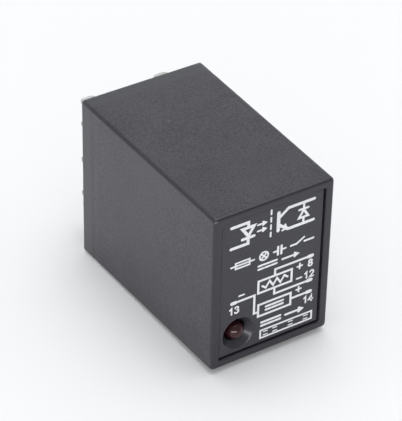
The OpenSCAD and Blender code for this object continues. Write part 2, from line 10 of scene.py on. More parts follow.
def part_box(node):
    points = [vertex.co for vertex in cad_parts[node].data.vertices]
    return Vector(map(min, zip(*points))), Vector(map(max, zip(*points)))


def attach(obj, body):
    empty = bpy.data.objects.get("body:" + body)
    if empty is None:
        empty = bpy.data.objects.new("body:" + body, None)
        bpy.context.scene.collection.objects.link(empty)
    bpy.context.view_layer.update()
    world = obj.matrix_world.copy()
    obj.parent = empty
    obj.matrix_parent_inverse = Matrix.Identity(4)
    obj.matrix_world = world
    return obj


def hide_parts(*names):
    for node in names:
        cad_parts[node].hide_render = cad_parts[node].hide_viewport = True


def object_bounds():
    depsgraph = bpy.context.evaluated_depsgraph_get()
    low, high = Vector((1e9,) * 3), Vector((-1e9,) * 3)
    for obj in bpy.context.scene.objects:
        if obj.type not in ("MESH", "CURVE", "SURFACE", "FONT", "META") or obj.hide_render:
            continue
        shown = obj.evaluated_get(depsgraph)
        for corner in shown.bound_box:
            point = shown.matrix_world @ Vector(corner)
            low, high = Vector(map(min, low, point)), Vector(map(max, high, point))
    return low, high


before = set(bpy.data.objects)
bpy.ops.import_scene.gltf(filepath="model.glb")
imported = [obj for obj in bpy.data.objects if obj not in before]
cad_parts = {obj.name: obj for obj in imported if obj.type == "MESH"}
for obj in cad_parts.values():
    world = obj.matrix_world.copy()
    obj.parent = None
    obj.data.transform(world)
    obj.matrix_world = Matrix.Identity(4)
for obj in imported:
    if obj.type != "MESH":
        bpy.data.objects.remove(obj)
cadLow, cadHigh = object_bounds()
mm = 0.001  # every shape below is worked out in millimetres
print("frame loaded:", len(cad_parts), "nodes")


def nodeBox(name):
    # the low and the high corner of a CAD node, in millimetres
    low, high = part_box(name)
    return np.array(low) / mm, np.array(high) / mm


# Shared shapes

def gridFaces(rows, cols, wrapRows=False):
    # quads between neighbouring rows of a grid whose columns close on themselves
    r = np.arange(rows if wrapRows else rows - 1)[:, None]
    c = np.arange(cols)[None, :]
    low, high = r * cols, ((r + 1) % rows) * cols
    after = (c + 1) % cols
    return np.stack([low + c, low + after, high + after, high + c], -1).reshape(-1, 4).tolist()


def joined(parts):
    # one vertex array and one face list from several
    verts, faces, start = [], [], 0
    for v, f in parts:
        verts.append(np.asarray(v, float).reshape(-1, 3))
        faces += [[i + start for i in face] for face in f]
        start += len(verts[-1])
    return np.concatenate(verts), faces


def edgeMask(mesh):
    # how sharply the surface turns at each point: the angle between two faces over the distance between
    # their middles, from 0 at a turn of 1.4 mm radius to 1 at 0.5 mm
    soft, hard, shortest = 0.7, 2.0, 0.05  # radians per millimetre, and the least distance counted

    def read(items, key, width=1, kind=float):
        values = np.empty(len(items) * width, kind)
        items.foreach_get(key, values)
        return values.reshape(-1, width) if width > 1 else values

    normals, middles = read(mesh.polygons, "normal", 3), read(mesh.polygons, "center", 3)
    owner = np.repeat(np.arange(len(mesh.polygons)), read(mesh.polygons, "loop_total", 1, int))
    edges = read(mesh.loops, "edge_index", 1, int)
    order = np.argsort(edges, kind="stable")
    shared = np.flatnonzero(np.diff(edges[order]) == 0)
    a, b = owner[order[shared]], owner[order[shared + 1]]
    angle = np.arccos(np.clip((normals[a] * normals[b]).sum(1), -1, 1))
    turn = angle / np.maximum(np.linalg.norm(middles[a] - middles[b], axis=1) / mm, shortest)
    mask = np.zeros(len(mesh.vertices))
    for end in read(mesh.edges, "vertices", 2, int)[edges[order[shared]]].T:
        np.maximum.at(mask, end, turn)
    return np.clip((mask - soft) / (hard - soft), 0, 1)


def makePiece(name, parts, material, body, replaces=(), sharp=32):
    # one object from several parts, smooth up to an angle of sharp degrees, with its edge mask
    verts, faces = joined(parts)
    mesh = bpy.data.meshes.new(name)
    mesh.from_pydata((verts * mm).tolist(), [], faces)
    mesh.validate()
    shape = bmesh.new()
    shape.from_mesh(mesh)
    bmesh.ops.recalc_face_normals(shape, faces=shape.faces)
    shape.to_mesh(mesh)
    shape.free()
    mask = mesh.attributes.new("edge", "FLOAT", "POINT")
    mask.data.foreach_set("value", edgeMask(mesh).astype(np.float32))
    mesh.shade_smooth()
    mesh.set_sharp_from_angle(angle=radians(sharp))
    mesh.materials.append(material)
    piece = bpy.data.objects.new(name, mesh)
    bpy.context.scene.collection.objects.link(piece)
    piece.modifiers.new("flatFaces", "WEIGHTED_NORMAL").keep_sharp = True
    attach(piece, body)
    if replaces:
        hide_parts(*replaces)
    return piece


def onCircle(angle):
    # (cosine, sine) of each angle
    return np.stack([np.cos(angle), np.sin(angle)], -1)


def roundRect(width, height, radius, steps=8, side=1):
    # corners as quarter circles, sides cut into equal steps, counterclockwise
    turn = np.linspace(0, pi / 2, steps + 1)
    corners = []
    for k, (sx, sy) in enumerate([(1, -1), (1, 1), (-1, 1), (-1, -1)]):
        middle = np.array([sx * (width / 2 - radius), sy * (height / 2 - radius)])
        corners.append(middle + radius * onCircle(turn + (k - 1) * pi / 2))
    ring = []
    for k in range(4):
        start, end = corners[k][-1], corners[(k + 1) % 4][0]
        share = np.linspace(0, 1, side + 1)[1:-1, None]
        ring += [corners[k], start + (end - start) * share]
    return np.concatenate(ring)


def circle(radius, count=32, middle=(0, 0)):
    # a full ring of points at equal angles
    return np.array(middle) + radius * onCircle(np.arange(count) / count * 2 * pi)


def arc(middle, radii, start, end, count=9):
    # part of an ellipse, between two angles in degrees
    return np.array(middle) + np.array(radii) * onCircle(np.radians(np.linspace(start, end, count)))


def quarter(radius, count=4):
    # (inset, rise) pairs of a rounded edge, from the flat face round to the wall
    return [(radius * (1 - sin(a)), radius * (1 - cos(a))) for a in np.linspace(0, pi / 2, count)]


def towards(ring, centre, radius):
    # each point of a ring moved along its ray from the centre onto a circle
    ray = ring - centre
    return centre + radius * ray / np.linalg.norm(ray, axis=1, keepdims=True)


def leftOf(direction):
    # each direction turned left by a quarter turn: (x, y) becomes (-y, x)
    return np.stack([-direction[:, 1], direction[:, 0]], -1)


def unit(vectors):
    # each vector over its own length
    return vectors / np.maximum(np.linalg.norm(vectors, axis=-1, keepdims=True), 1e-9)


def inset(loop, amount):
    # each corner moved along its mitre, to the left of the way round
    before, after = unit(loop - np.roll(loop, 1, 0)), unit(np.roll(loop, -1, 0) - loop)
    mitre = unit(leftOf(before) + leftOf(after))
    stretch = np.maximum((mitre * leftOf(before)).sum(1), 0.35)  # a very sharp corner is held back
    return loop + mitre * amount / stretch[:, None]


def area(loop):
    # half the sum of the cross products of neighbouring points, positive when counterclockwise
    x, y = loop[:, 0], loop[:, 1]
    return 0.5 * np.sum(x * np.roll(y, -1) - y * np.roll(x, -1))


def roundedSteps(low, high, lowEdge, highEdge, count=4):
    # (inset, depth) pairs of a wall between two faces, with a quarter circle at each
    start = [(less, low + rise) for less, rise in quarter(lowEdge, count)] if lowEdge else [(0, low)]
    end = [(less, high - rise) for less, rise in quarter(highEdge, count)] if highEdge else [(0, high)]
    return start + end[::-1]


def sheetPart(loops, low, high, edge, place):
    # a flat part: each outline carried from low to high with its edges rounded, and both sides filled;
    # place turns its (u, v, depth) into x, y, z
    lowEdge, highEdge = edge if isinstance(edge, tuple) else (edge, edge)
    turned = [np.asarray(loop, float) for loop in loops]
    turned = [loop if (area(loop) > 0) == (k == 0) else loop[::-1] for k, loop in enumerate(turned)]
    steps = roundedSteps(low, high, lowEdge, highEdge)
    walls, starts, total = [], [], 0
    for loop in turned:
        rings = [np.column_stack([inset(loop, i), np.full(len(loop), d)]) for i, d in steps]
        walls.append((np.concatenate(rings), gridFaces(len(steps), len(loop))))
        starts.append(total)
        total += len(steps) * len(loop)
    verts, faces = joined(walls)
    for row, amount in ((0, lowEdge), (len(steps) - 1, highEdge)):
        flat = [[(*p, 0) for p in inset(loop, amount)] for loop in turned]
        index = [s + row * len(loop) + np.arange(len(loop)) for s, loop in zip(starts, turned)]
        index = np.concatenate(index)
        faces += [[int(index[i]) for i in tri] for tri in tessellate_polygon(flat)]
    return place(verts), faces


def loft(rings, place, caps=True):
    # flat rings of equal count at their depths, joined one to the next, and closed at both ends
    count = len(rings[0][0])
    verts = np.concatenate([np.column_stack([ring, np.full(count, depth)]) for ring, depth in rings])
    faces = gridFaces(len(rings), count)
    if caps:
        last = len(verts) - count
        faces += [list(range(count))[::-1], list(range(last, last + count))]
    return place(verts), faces


def lathe(profile, place, count=40):
    # a profile of (radius, depth) turned once round; a radius of 0 closes as a pole
    profile = np.asarray(profile, float)
    x, y = circle(1, count).T
    rings = np.stack([profile[:, :1] * x, profile[:, :1] * y, np.repeat(profile[:, 1:], count, 1)], -1)
    first, last = profile[0, 0] < 1e-9, profile[-1, 0] < 1e-9
    body = rings[int(first):len(rings) - int(last)]
    closed = not first and not last
    verts, faces = body.reshape(-1, 3), gridFaces(len(body), count, wrapRows=closed)
    after = (np.arange(count) + 1) % count
    for wanted, start, depth in ((first, 0, profile[0, 1]), (last, (len(body) - 1) * count, profile[-1, 1])):
        if wanted:
            pole = len(verts)
            verts = np.concatenate([verts, [[0, 0, depth]]])
            faces += [[pole, start + i, start + int(j)] for i, j in enumerate(after)]
    return place(verts), faces


def carried(section, path, across, upward, ease=0.0):
    # a flat section carried along a path, square to it, with both ends rounded off by ease
    path, across = np.asarray(path, float), np.broadcast_to(np.asarray(across, float), (len(path), 3))
    upward = np.broadcast_to(np.asarray(upward, float), (len(path), 3))
    begin, finish = unit(path[1] - path[0]), unit(path[-1] - path[-2])
    rounding = quarter(ease)[:-1] if ease else []
    head = [(path[0] + begin * rise, 0, less) for less, rise in rounding]
    tail = [(path[-1] - finish * rise, -1, less) for less, rise in rounding[::-1]]
    middle = [(p, k, 0) for k, p in enumerate(path)]
    if ease:
        middle[0] = (path[0] + begin * ease, 0, 0)
        middle[-1] = (path[-1] - finish * ease, -1, 0)
    rings = []
    for point, k, amount in head + middle + tail:
        ring = inset(section, amount) if amount else section
        rings.append(point + ring[:, :1] * across[k] + ring[:, 1:] * upward[k])
    count, rows = len(section), len(rings)
    faces = gridFaces(rows, count)
    faces += [list(range(count))[::-1], list(range((rows - 1) * count, rows * count))]
    return np.concatenate(rings), faces


def alongX(x, y, z, sign=1):
    # depth along x, u along y and v along z, about one point
    return lambda p: np.stack([x + sign * p[:, 2], y + p[:, 0], z + p[:, 1]], -1)


def alongY(x, y, z, sign=1):
    # depth along y, u along x and v along z
    return lambda p: np.stack([x + p[:, 0], y + sign * p[:, 2], z + p[:, 1]], -1)


def alongZ(x, y, z, sign=1):
    # depth along z, u along x and v along y
    return lambda p: np.stack([x + p[:, 0], y + p[:, 1], z + sign * p[:, 2]], -1)


def stroke(points, width, closed=False):
    # the outline of a pen line: both sides on their mitres, and a half circle at each open end
    points = np.asarray(points, float)
    if closed:
        turned = points if area(points) > 0 else points[::-1]
        return [inset(turned, -width / 2), inset(turned, width / 2)]
    way = unit(np.diff(points, axis=0))
    before, after = np.concatenate([way[:1], way]), np.concatenate([way, way[-1:]])
    mitre = unit(leftOf(before) + leftOf(after))
    side = mitre * (width / 2 / np.maximum((mitre * leftOf(before)).sum(1), 0.5))[:, None]
    first, last = [atan2(way[k][1], way[k][0]) for k in (0, -1)]
    bend = np.linspace(0, pi, 7)[1:-1]
    tail = points[-1] + width / 2 * onCircle(last + pi / 2 - bend)
    head = points[0] + width / 2 * onCircle(first - pi / 2 - bend)
    return [np.concatenate([points + side, tail, (points - side)[::-1], head])]


def digitLines(digit):
    # a plain numeral as pen lines in a box 0.6 wide and 1 high: the open lines, then the closed rings
    def ring(middle, radii):
        return arc(middle, radii, 0, 360, 17)[:-1]

    opened, closed = {
        "1": ([[[(0.10, 0.76), (0.36, 1.0), (0.36, 0.0)]]], []),
        "2": ([[arc((0.3, 0.70), (0.28, 0.30), 160, -38), [(0.02, 0), (0.6, 0)]]], []),
        "3": ([[arc((0.29, 0.75), (0.25, 0.25), 155, -75), arc((0.29, 0.26), (0.30, 0.26), 80, -155)]], []),
        "4": ([[[(0.44, 0.0), (0.44, 1.0), (0.0, 0.30), (0.64, 0.30)]]], []),
        "5": ([[[(0.56, 1.0), (0.10, 1.0), (0.06, 0.54)], arc((0.28, 0.32), (0.31, 0.32), 120, -145)]], []),
        "8": ([], [ring((0.3, 0.75), (0.24, 0.25)), ring((0.3, 0.26), (0.29, 0.26))]),
        "9": ([[arc((0.12, 0.66), (0.46, 0.66), 5, -72)]], [ring((0.3, 0.70), (0.28, 0.30))]),
    }[digit]
    return [(line, True) for line in closed] + [(np.concatenate(line), False) for line in opened]


def numberLines(text, middle, height):
    # the numerals of one number side by side about a middle
    pitch, halfWide = 0.86 * height, 0.3 * height
    lines = []
    for k, digit in enumerate(text):
        corner = np.array(middle) + [(k - (len(text) - 1) / 2) * pitch - halfWide, -height / 2]
        lines += [(corner + height * np.asarray(line), closed) for line, closed in digitLines(digit)]
    return lines


# Shared surface effects, as node groups

def newGroup(name, inputs, outputs):
    # a node group with its sockets; gives the group, its own inputs to read and its outputs to fill
    group = bpy.data.node_groups.new(name, "ShaderNodeTree")
    for label, kind, value in inputs:
        socket = group.interface.new_socket(label, in_out="INPUT", socket_type=kind)
        if value is not None:
            socket.default_value = value
    for label in outputs:
        group.interface.new_socket(label, in_out="OUTPUT", socket_type="NodeSocketFloat")
    return group, group.nodes.new("NodeGroupInput").outputs, group.nodes.new("NodeGroupOutput").inputs


def node(tree, kind, settings=None, **values):
    # a new node with its settings and its sockets' values; _ in a socket's name stands for a space
    made = tree.nodes.new(kind)
    for key, value in (settings or {}).items():
        setattr(made, key, value)
    for key, value in values.items():
        made.inputs[key.replace("_", " ")].default_value = value
    return made


def maths(tree, operation, a, b=None, clamp=False):
    # one step of arithmetic on numbers or sockets
    made = node(tree, "ShaderNodeMath", {"operation": operation, "use_clamp": clamp})
    for k, value in enumerate([a, b]):
        if isinstance(value, (int, float)):
            made.inputs[k].default_value = value
        elif value is not None:
            tree.links.new(value, made.inputs[k])
    return made.outputs[0]


def stepped(tree, value, low, high):
    # 0 below low, 1 above high, smooth between
    made = node(tree, "ShaderNodeMapRange", {"interpolation_type": "SMOOTHSTEP"}, From_Min=low, From_Max=high)
    tree.links.new(value, made.inputs["Value"])
    return made.outputs["Result"]


def noise(tree, vector, scale, detail=2.0, roughness=0.5):
    # a noise from 0 to 1 about 0.5, with so many cells per metre
    made = node(tree, "ShaderNodeTexNoise", Detail=detail, Roughness=roughness)
    tree.links.new(vector, made.inputs["Vector"])
    if isinstance(scale, (int, float)):
        made.inputs["Scale"].default_value = scale
    else:
        tree.links.new(scale, made.inputs["Scale"])
    return made.outputs["Fac"]


def stretched(tree, vector, factors):
    # each part of a vector times its own factor
    made = node(tree, "ShaderNodeVectorMath", {"operation": "MULTIPLY"})
    tree.links.new(vector, made.inputs[0])
    if isinstance(factors, tuple):
        made.inputs[1].default_value = factors
    else:
        tree.links.new(factors, made.inputs[1])
    return made.outputs[0]


def component(tree, vector, axis):
    # one part of a vector, by the name of its axis
    made = node(tree, "ShaderNodeSeparateXYZ")
    tree.links.new(vector, made.inputs[0])
    return made.outputs[axis]


def makeGrainGroup():
    # a fine and a coarser noise as height, small specks on slow patches as tone, and a mottle of its own
    group, start, end = newGroup("skinGrain", [
        ("Vector", "NodeSocketVector", None), ("Grain Size", "NodeSocketFloat", 0.0002)
    ], ["Height", "Tone", "Mottle"])
    scale = maths(group, "DIVIDE", 1.0, start["Grain Size"])
    fine = noise(group, start["Vector"], scale, 2.0, 0.6)
    coarse = noise(group, start["Vector"], maths(group, "MULTIPLY", scale, 0.37), 1.0)
    height = maths(group, "ADD", maths(group, "MULTIPLY", fine, 0.6), maths(group, "MULTIPLY", coarse, 0.4))
    slow = noise(group, start["Vector"], 150.0, 3.0, 0.6)
    speck = noise(group, start["Vector"], maths(group, "MULTIPLY", scale, 0.9), 2.0, 0.7)
    tone = maths(group, "ADD", maths(group, "MULTIPLY", slow, 0.2), maths(group, "MULTIPLY", speck, 0.8))
    moved = node(group, "ShaderNodeVectorMath", {"operation": "ADD"})
    moved.inputs[1].default_value = (0.3, 0.7, 0.2)
    group.links.new(start["Vector"], moved.inputs[0])
    mottle = noise(group, moved.outputs[0], maths(group, "MULTIPLY", scale, 0.3), 3.0, 0.6)
    group.links.new(height, end["Height"])
    group.links.new(tone, end["Tone"])
    group.links.new(stepped(group, mottle, 0.35, 0.65), end["Mottle"])
    return group


def makeWearGroup():
    # an edge mask broken up by noise, and rare specks of dust: most cells of a Voronoi pattern stay empty
    group, start, end = newGroup("wearAndDust", [
        ("Vector", "NodeSocketVector", None), ("Edge", "NodeSocketFloat", 0.0),
        ("Amount", "NodeSocketFloat", 0.5), ("Dust Scale", "NodeSocketFloat", 300.0)
    ], ["Wear", "Dust"])
    broken = stepped(group, noise(group, start["Vector"], 700.0, 4.0, 0.7), 0.45, 0.72)
    worn = maths(group, "MULTIPLY", start["Edge"], broken)
    group.links.new(maths(group, "MULTIPLY", worn, start["Amount"], True), end["Wear"])
    cells = node(group, "ShaderNodeTexVoronoi")
    group.links.new(start["Vector"], cells.inputs["Vector"])
    group.links.new(start["Dust Scale"], cells.inputs["Scale"])
    near = maths(group, "SUBTRACT", 1.0, stepped(group, cells.outputs["Distance"], 0.02, 0.07))
    chance = node(group, "ShaderNodeSeparateColor")
    group.links.new(cells.outputs["Color"], chance.inputs["Color"])
    rare = stepped(group, chance.outputs["Red"], 0.93, 0.96)
    group.links.new(maths(group, "MULTIPLY", near, rare, True), end["Dust"])
    return group


def makeRolledGroup():
    # drawn metal: a noise stretched along the way it was rolled, and slow dull patches
    group, start, end = newGroup("rolledMetal", [
        ("Vector", "NodeSocketVector", None), ("Stretch", "NodeSocketVector", (1, 1, 1)),
        ("Line Scale", "NodeSocketFloat", 6000.0), ("Patch Scale", "NodeSocketFloat", 350.0)
    ], ["Lines", "Patches"])
    long = stretched(group, start["Vector"], start["Stretch"])
    group.links.new(noise(group, long, start["Line Scale"], 3.0, 0.6), end["Lines"])
    patches = noise(group, start["Vector"], start["Patch Scale"], 4.0, 0.65)
    group.links.new(stepped(group, patches, 0.42, 0.68), end["Patches"])
    return group


skinGrain, wearAndDust, rolledMetal = makeGrainGroup(), makeWearGroup(), makeRolledGroup()


# Materials

def newMaterial(name, **values):
    # gives the material, its nodes, its shader with the given values, and the place on the piece
    material = bpy.data.materials.new(name)
    material.use_nodes = True
    tree = material.node_tree
    shader = tree.nodes["Principled BSDF"]
    for key, value in values.items():
        shader.inputs[key.replace("_", " ")].default_value = value
    return material, tree, shader, tree.nodes.new("ShaderNodeTexCoord").outputs["Object"]


def mixed(tree, mask, a, b):
    # colour a where the mask is 0 and b where it is 1
    made = node(tree, "ShaderNodeMix", {"data_type": "RGBA"})
    if isinstance(mask, (int, float)):
        made.inputs["Factor"].default_value = mask
    else:
        tree.links.new(mask, made.inputs["Factor"])
    for socket, value in ((made.inputs[6], a), (made.inputs[7], b)):
        if isinstance(value, tuple):
            socket.default_value = (*value, 1.0)
        else:
            tree.links.new(value, socket)
    return made.outputs[2]


def addBump(tree, shader, height, distance):
    # a height from 0 to 1 tilts the surface as if it stood that distance, in metres, proud
    made = node(tree, "ShaderNodeBump", Strength=1.0, Distance=distance)
    tree.links.new(height, made.inputs["Height"])
    tree.links.new(made.outputs["Normal"], shader.inputs["Normal"])


def addSkin(tree, shader, place, look, colour=None):
    # patches and grain in the colour, painted shade on rounded edges and painted light and shade in bands
    # along Y where a look asks for them, rubbed edges, dust, and a roughness that follows the patches
    grain = node(tree, "ShaderNodeGroup", {"node_tree": skinGrain}, Grain_Size=look["grain"])
    worn = node(tree, "ShaderNodeGroup", {"node_tree": wearAndDust}, Amount=look["wear"],
                Dust_Scale=look["dustScale"])
    edge = node(tree, "ShaderNodeAttribute", {"attribute_name": "edge"})
    for made in (grain, worn):
        tree.links.new(place, made.inputs["Vector"])
    tree.links.new(edge.outputs["Fac"], worn.inputs["Edge"])
    patches = stepped(tree, grain.outputs["Tone"], 0.42, 0.58)
    if colour is None:
        colour = mixed(tree, patches, look["dark"], look["light"])
        if "tint" in look:
            colour = mixed(tree, maths(tree, "MULTIPLY", grain.outputs["Mottle"], 0.4), colour, look["tint"])
    # painted shade: the edge mask darkens the rounded edges, standing in for the dark room they reflect
    if "paintedEdgeShade" in look:
        colour = mixed(tree, maths(tree, "MULTIPLY", edge.outputs["Fac"], 0.9), colour, look["paintedEdgeShade"])
    # painted light and shade: a band of another tone along Y, darker on the front rim and paler by the mouth,
    # for how light falls on the case
    for first, last, tone in look.get("paintedLightBands", []):  # another tone from the first to the last place along Y
        end = stepped(tree, component(tree, place, "Y"), cadLow[1] + first * mm, cadLow[1] + last * mm)
        colour = mixed(tree, end, colour, tone)
    colour = mixed(tree, worn.outputs["Wear"], colour, look["rubbed"])
    colour = mixed(tree, worn.outputs["Dust"], colour, look["dust"])
    tree.links.new(colour, shader.inputs["Base Color"])

    spread = maths(tree, "MULTIPLY", grain.outputs["Tone"], look["roughSpread"])
    tree.links.new(maths(tree, "ADD", spread, look["rough"]), shader.inputs["Roughness"])
    addBump(tree, shader, grain.outputs["Height"], look["depth"])


skinLook = {  # what most moulded and coated parts share
    "rubbed": (0.13, 0.13, 0.14), "dust": (0.22, 0.22, 0.23), "rough": 0.42, "roughSpread": 0.12,
    "grain": 0.00022, "depth": 0.000006, "wear": 0.3, "dustScale": 420.0,
}


def skinMaterial(name, look, **values):
    # a moulded or coated finish: the shared look, with this finish's own values over it
    material, tree, shader, place = newMaterial(name, **values)
    addSkin(tree, shader, place, {**skinLook, **look})
    return material


def metalMaterial(name, look):
    # plated or bare metal: fine lines along the rolling, and dull patches
    material, tree, shader, place = newMaterial(name, Metallic=1.0)
    rolled = node(tree, "ShaderNodeGroup", {"node_tree": rolledMetal}, Stretch=look["stretch"],
                  Line_Scale=look["lineScale"], Patch_Scale=look["patchScale"])
    tree.links.new(place, rolled.inputs["Vector"])
    colour = mixed(tree, rolled.outputs["Patches"], look["clean"], look["dull"])
    tree.links.new(colour, shader.inputs["Base Color"])
    lines = maths(tree, "MULTIPLY", rolled.outputs["Lines"], look["roughSpread"])
    dull = maths(tree, "MULTIPLY", rolled.outputs["Patches"], 0.12)
    rough = maths(tree, "ADD", maths(tree, "ADD", lines, dull), look["rough"])
    tree.links.new(rough, shader.inputs["Roughness"])
    addBump(tree, shader, rolled.outputs["Lines"], look["depth"])
    return material


def bandedMaterial(name, look, low, high, bands, axis="Y", **values):
    # a coated body whose colour changes in steps along one axis, between two places in millimetres
    material, tree, shader, place = newMaterial(name, **values)
    along = node(tree, "ShaderNodeMapRange", From_Min=low * mm, From_Max=high * mm)
    tree.links.new(component(tree, place, axis), along.inputs["Value"])
    ramp = node(tree, "ShaderNodeValToRGB")
    ramp.color_ramp.interpolation = "CONSTANT"
    stops = ramp.color_ramp.elements
    while len(stops) < len(bands):
        stops.new(0.5)
    for stop, (position, colour) in zip(stops, bands):
        stop.position = position
        stop.color = (*colour, 1)
    tree.links.new(along.outputs["Result"], ramp.inputs["Fac"])
    addSkin(tree, shader, place, {**skinLook, **look}, ramp.outputs["Color"])
    return material


casePlastic = skinMaterial("casePlastic", {
    "dark": (0.006, 0.006, 0.009), "light": (0.044, 0.043, 0.050), "tint": (0.035, 0.027, 0.041),
    "rough": 0.30, "roughSpread": 0.16, "grain": 0.00028, "depth": 0.000031, "rubbed": (0.06, 0.06, 0.07),
    # painted shade darkens the rounded edges; painted bands along the case: shade on the front rim, light by
    # the mouth
    "wear": 0.1, "paintedEdgeShade": (0.020, 0.019, 0.023),
    "paintedLightBands": [(0.4, 0.1, (0.005, 0.004, 0.007)), (33.0, 34.0, (0.036, 0.036, 0.040))],  # dark rim, paler mouth
}, Specular_IOR_Level=0.70, Specular_Tint=(0.93, 0.925, 1.0, 1))
platePlastic = skinMaterial("platePlastic", {
    "dark": (0.017, 0.017, 0.022), "light": (0.025, 0.024, 0.030), "rough": 0.24, "roughSpread": 0.10,
    "grain": 0.0003, "depth": 0.000006, "rubbed": (0.06, 0.06, 0.07), "wear": 0.2, "dustScale": 520.0,
}, Specular_Tint=(0.93, 0.93, 1.0, 1))
basePlastic = skinMaterial("basePlastic", {
    "dark": (0.030, 0.030, 0.033), "light": (0.040, 0.040, 0.043), "rough": 0.38, "depth": 0.000008,
})
blackEpoxy = skinMaterial("blackEpoxy", {
    "dark": (0.018, 0.018, 0.019), "light": (0.028, 0.028, 0.030), "rough": 0.45, "grain": 0.00012,
    "depth": 0.000008,
})
couplerPlastic = skinMaterial("couplerPlastic", {
    "dark": (0.66, 0.63, 0.55), "light": (0.76, 0.73, 0.66), "rubbed": (0.55, 0.52, 0.45),
    "dust": (0.35, 0.33, 0.30), "rough": 0.5, "grain": 0.00012,
})
bushPlastic = skinMaterial("bushPlastic", {
    "dark": (0.60, 0.55, 0.44), "light": (0.68, 0.64, 0.52), "rubbed": (0.5, 0.46, 0.38), "rough": 0.35,
}, Subsurface_Weight=0.1)
absorberCoat = skinMaterial("absorberCoat", {
    "dark": (0.020, 0.085, 0.21), "light": (0.030, 0.120, 0.27), "rubbed": (0.10, 0.18, 0.30),
    "rough": 0.28, "grain": 0.0006, "depth": 0.00003,
}, Coat_Weight=0.4)
capacitorCoat = skinMaterial("capacitorCoat", {
    "dark": (0.36, 0.12, 0.028), "light": (0.46, 0.17, 0.045), "rubbed": (0.5, 0.3, 0.15),
    "rough": 0.3, "grain": 0.0005, "depth": 0.00003,
}, Coat_Weight=0.3)
sleevePlastic = skinMaterial("sleevePlastic", {
    "dark": (0.52, 0.40, 0.045), "light": (0.60, 0.47, 0.06), "rubbed": (0.45, 0.36, 0.1),
    "rough": 0.35, "depth": 0.000004,
}, Subsurface_Weight=0.05)
whitePrint = skinMaterial("whitePrint", {
    "dark": (0.62, 0.63, 0.65), "light": (0.74, 0.75, 0.77), "rubbed": (0.54, 0.55, 0.57),
    "dust": (0.55, 0.55, 0.56), "rough": 0.5, "grain": 0.00012, "depth": 0.000003, "wear": 0.4,
})
silverPlate = metalMaterial("silverPlate", {
    "clean": (0.56, 0.56, 0.55), "dull": (0.38, 0.375, 0.36), "stretch": (1, 0.05, 1), "lineScale": 9000.0,
    "patchScale": 420.0, "rough": 0.26, "roughSpread": 0.14, "depth": 0.000003,
})
tinnedWire = metalMaterial("tinnedWire", {
    "clean": (0.72, 0.72, 0.71), "dull": (0.55, 0.54, 0.52), "stretch": (1, 1, 1), "lineScale": 3000.0,
    "patchScale": 900.0, "rough": 0.26, "roughSpread": 0.12, "depth": 0.000003,
})
solderMetal = metalMaterial("solderMetal", {
    "clean": (0.70, 0.71, 0.72), "dull": (0.50, 0.51, 0.52), "stretch": (1, 1, 1), "lineScale": 1800.0,
    "patchScale": 1200.0, "rough": 0.20, "roughSpread": 0.25, "depth": 0.00003,
})
aluminium = metalMaterial("aluminium", {
    "clean": (0.66, 0.67, 0.69), "dull": (0.61, 0.62, 0.64), "stretch": (1, 1, 0.03), "lineScale": 5200.0,
    "patchScale": 90.0, "rough": 0.34, "roughSpread": 0.12, "depth": 0.000006,
})
leadFrame = metalMaterial("leadFrame", {
    "clean": (0.72, 0.70, 0.66), "dull": (0.56, 0.53, 0.48), "stretch": (1, 0.06, 1), "lineScale": 7000.0,
    "patchScale": 500.0, "rough": 0.28, "roughSpread": 0.15, "depth": 0.000004,
})
zincSteel = metalMaterial("zincSteel", {
    "clean": (0.66, 0.67, 0.69), "dull": (0.50, 0.51, 0.50), "stretch": (1, 1, 1), "lineScale": 2600.0,
    "patchScale": 700.0, "rough": 0.26, "roughSpread": 0.2, "depth": 0.000005,
})
springSteel = metalMaterial("springSteel", {
    "clean": (0.36, 0.36, 0.38), "dull": (0.24, 0.24, 0.25), "stretch": (1, 1, 1), "lineScale": 2600.0,
    "patchScale": 700.0, "rough": 0.32, "roughSpread": 0.2, "depth": 0.000005,
})


def makePadMaterial():
    # a glass cloth coated in heat-conducting rubber: two crossed waves show through
    material, tree, shader, place = newMaterial("thermalCloth")
    waves = []
    for direction in ("Y", "Z"):
        wave = node(tree, "ShaderNodeTexWave", {"bands_direction": direction}, Scale=420.0, Distortion=0.6)
        tree.links.new(place, wave.inputs["Vector"])
        waves.append(wave.outputs["Fac"])
    weave = maths(tree, "MULTIPLY", *waves)
    colour = mixed(tree, weave, (0.24, 0.34, 0.26), (0.36, 0.47, 0.38))
    blotches = stepped(tree, noise(tree, place, 300.0), 0.4, 0.7)
    tree.links.new(mixed(tree, blotches, colour, (0.28, 0.38, 0.31)), shader.inputs["Base Color"])
    shader.inputs["Roughness"].default_value = 0.6
    addBump(tree, shader, weave, 0.00003)
    return material


def makeLensMaterial():
    # dark red clear epoxy with a thin smoky unevenness
    material, tree, shader, place = newMaterial(
        "redEpoxy", Roughness=0.07, IOR=1.47, Transmission_Weight=0.6, Specular_Tint=(1.0, 0.84, 0.82, 1))
    cloudy = stepped(tree, noise(tree, place, 500.0, 3.0), 0.4, 0.75)
    colour = mixed(tree, cloudy, (0.052, 0.009, 0.013), (0.074, 0.012, 0.017))
    tree.links.new(colour, shader.inputs["Base Color"])
    return material


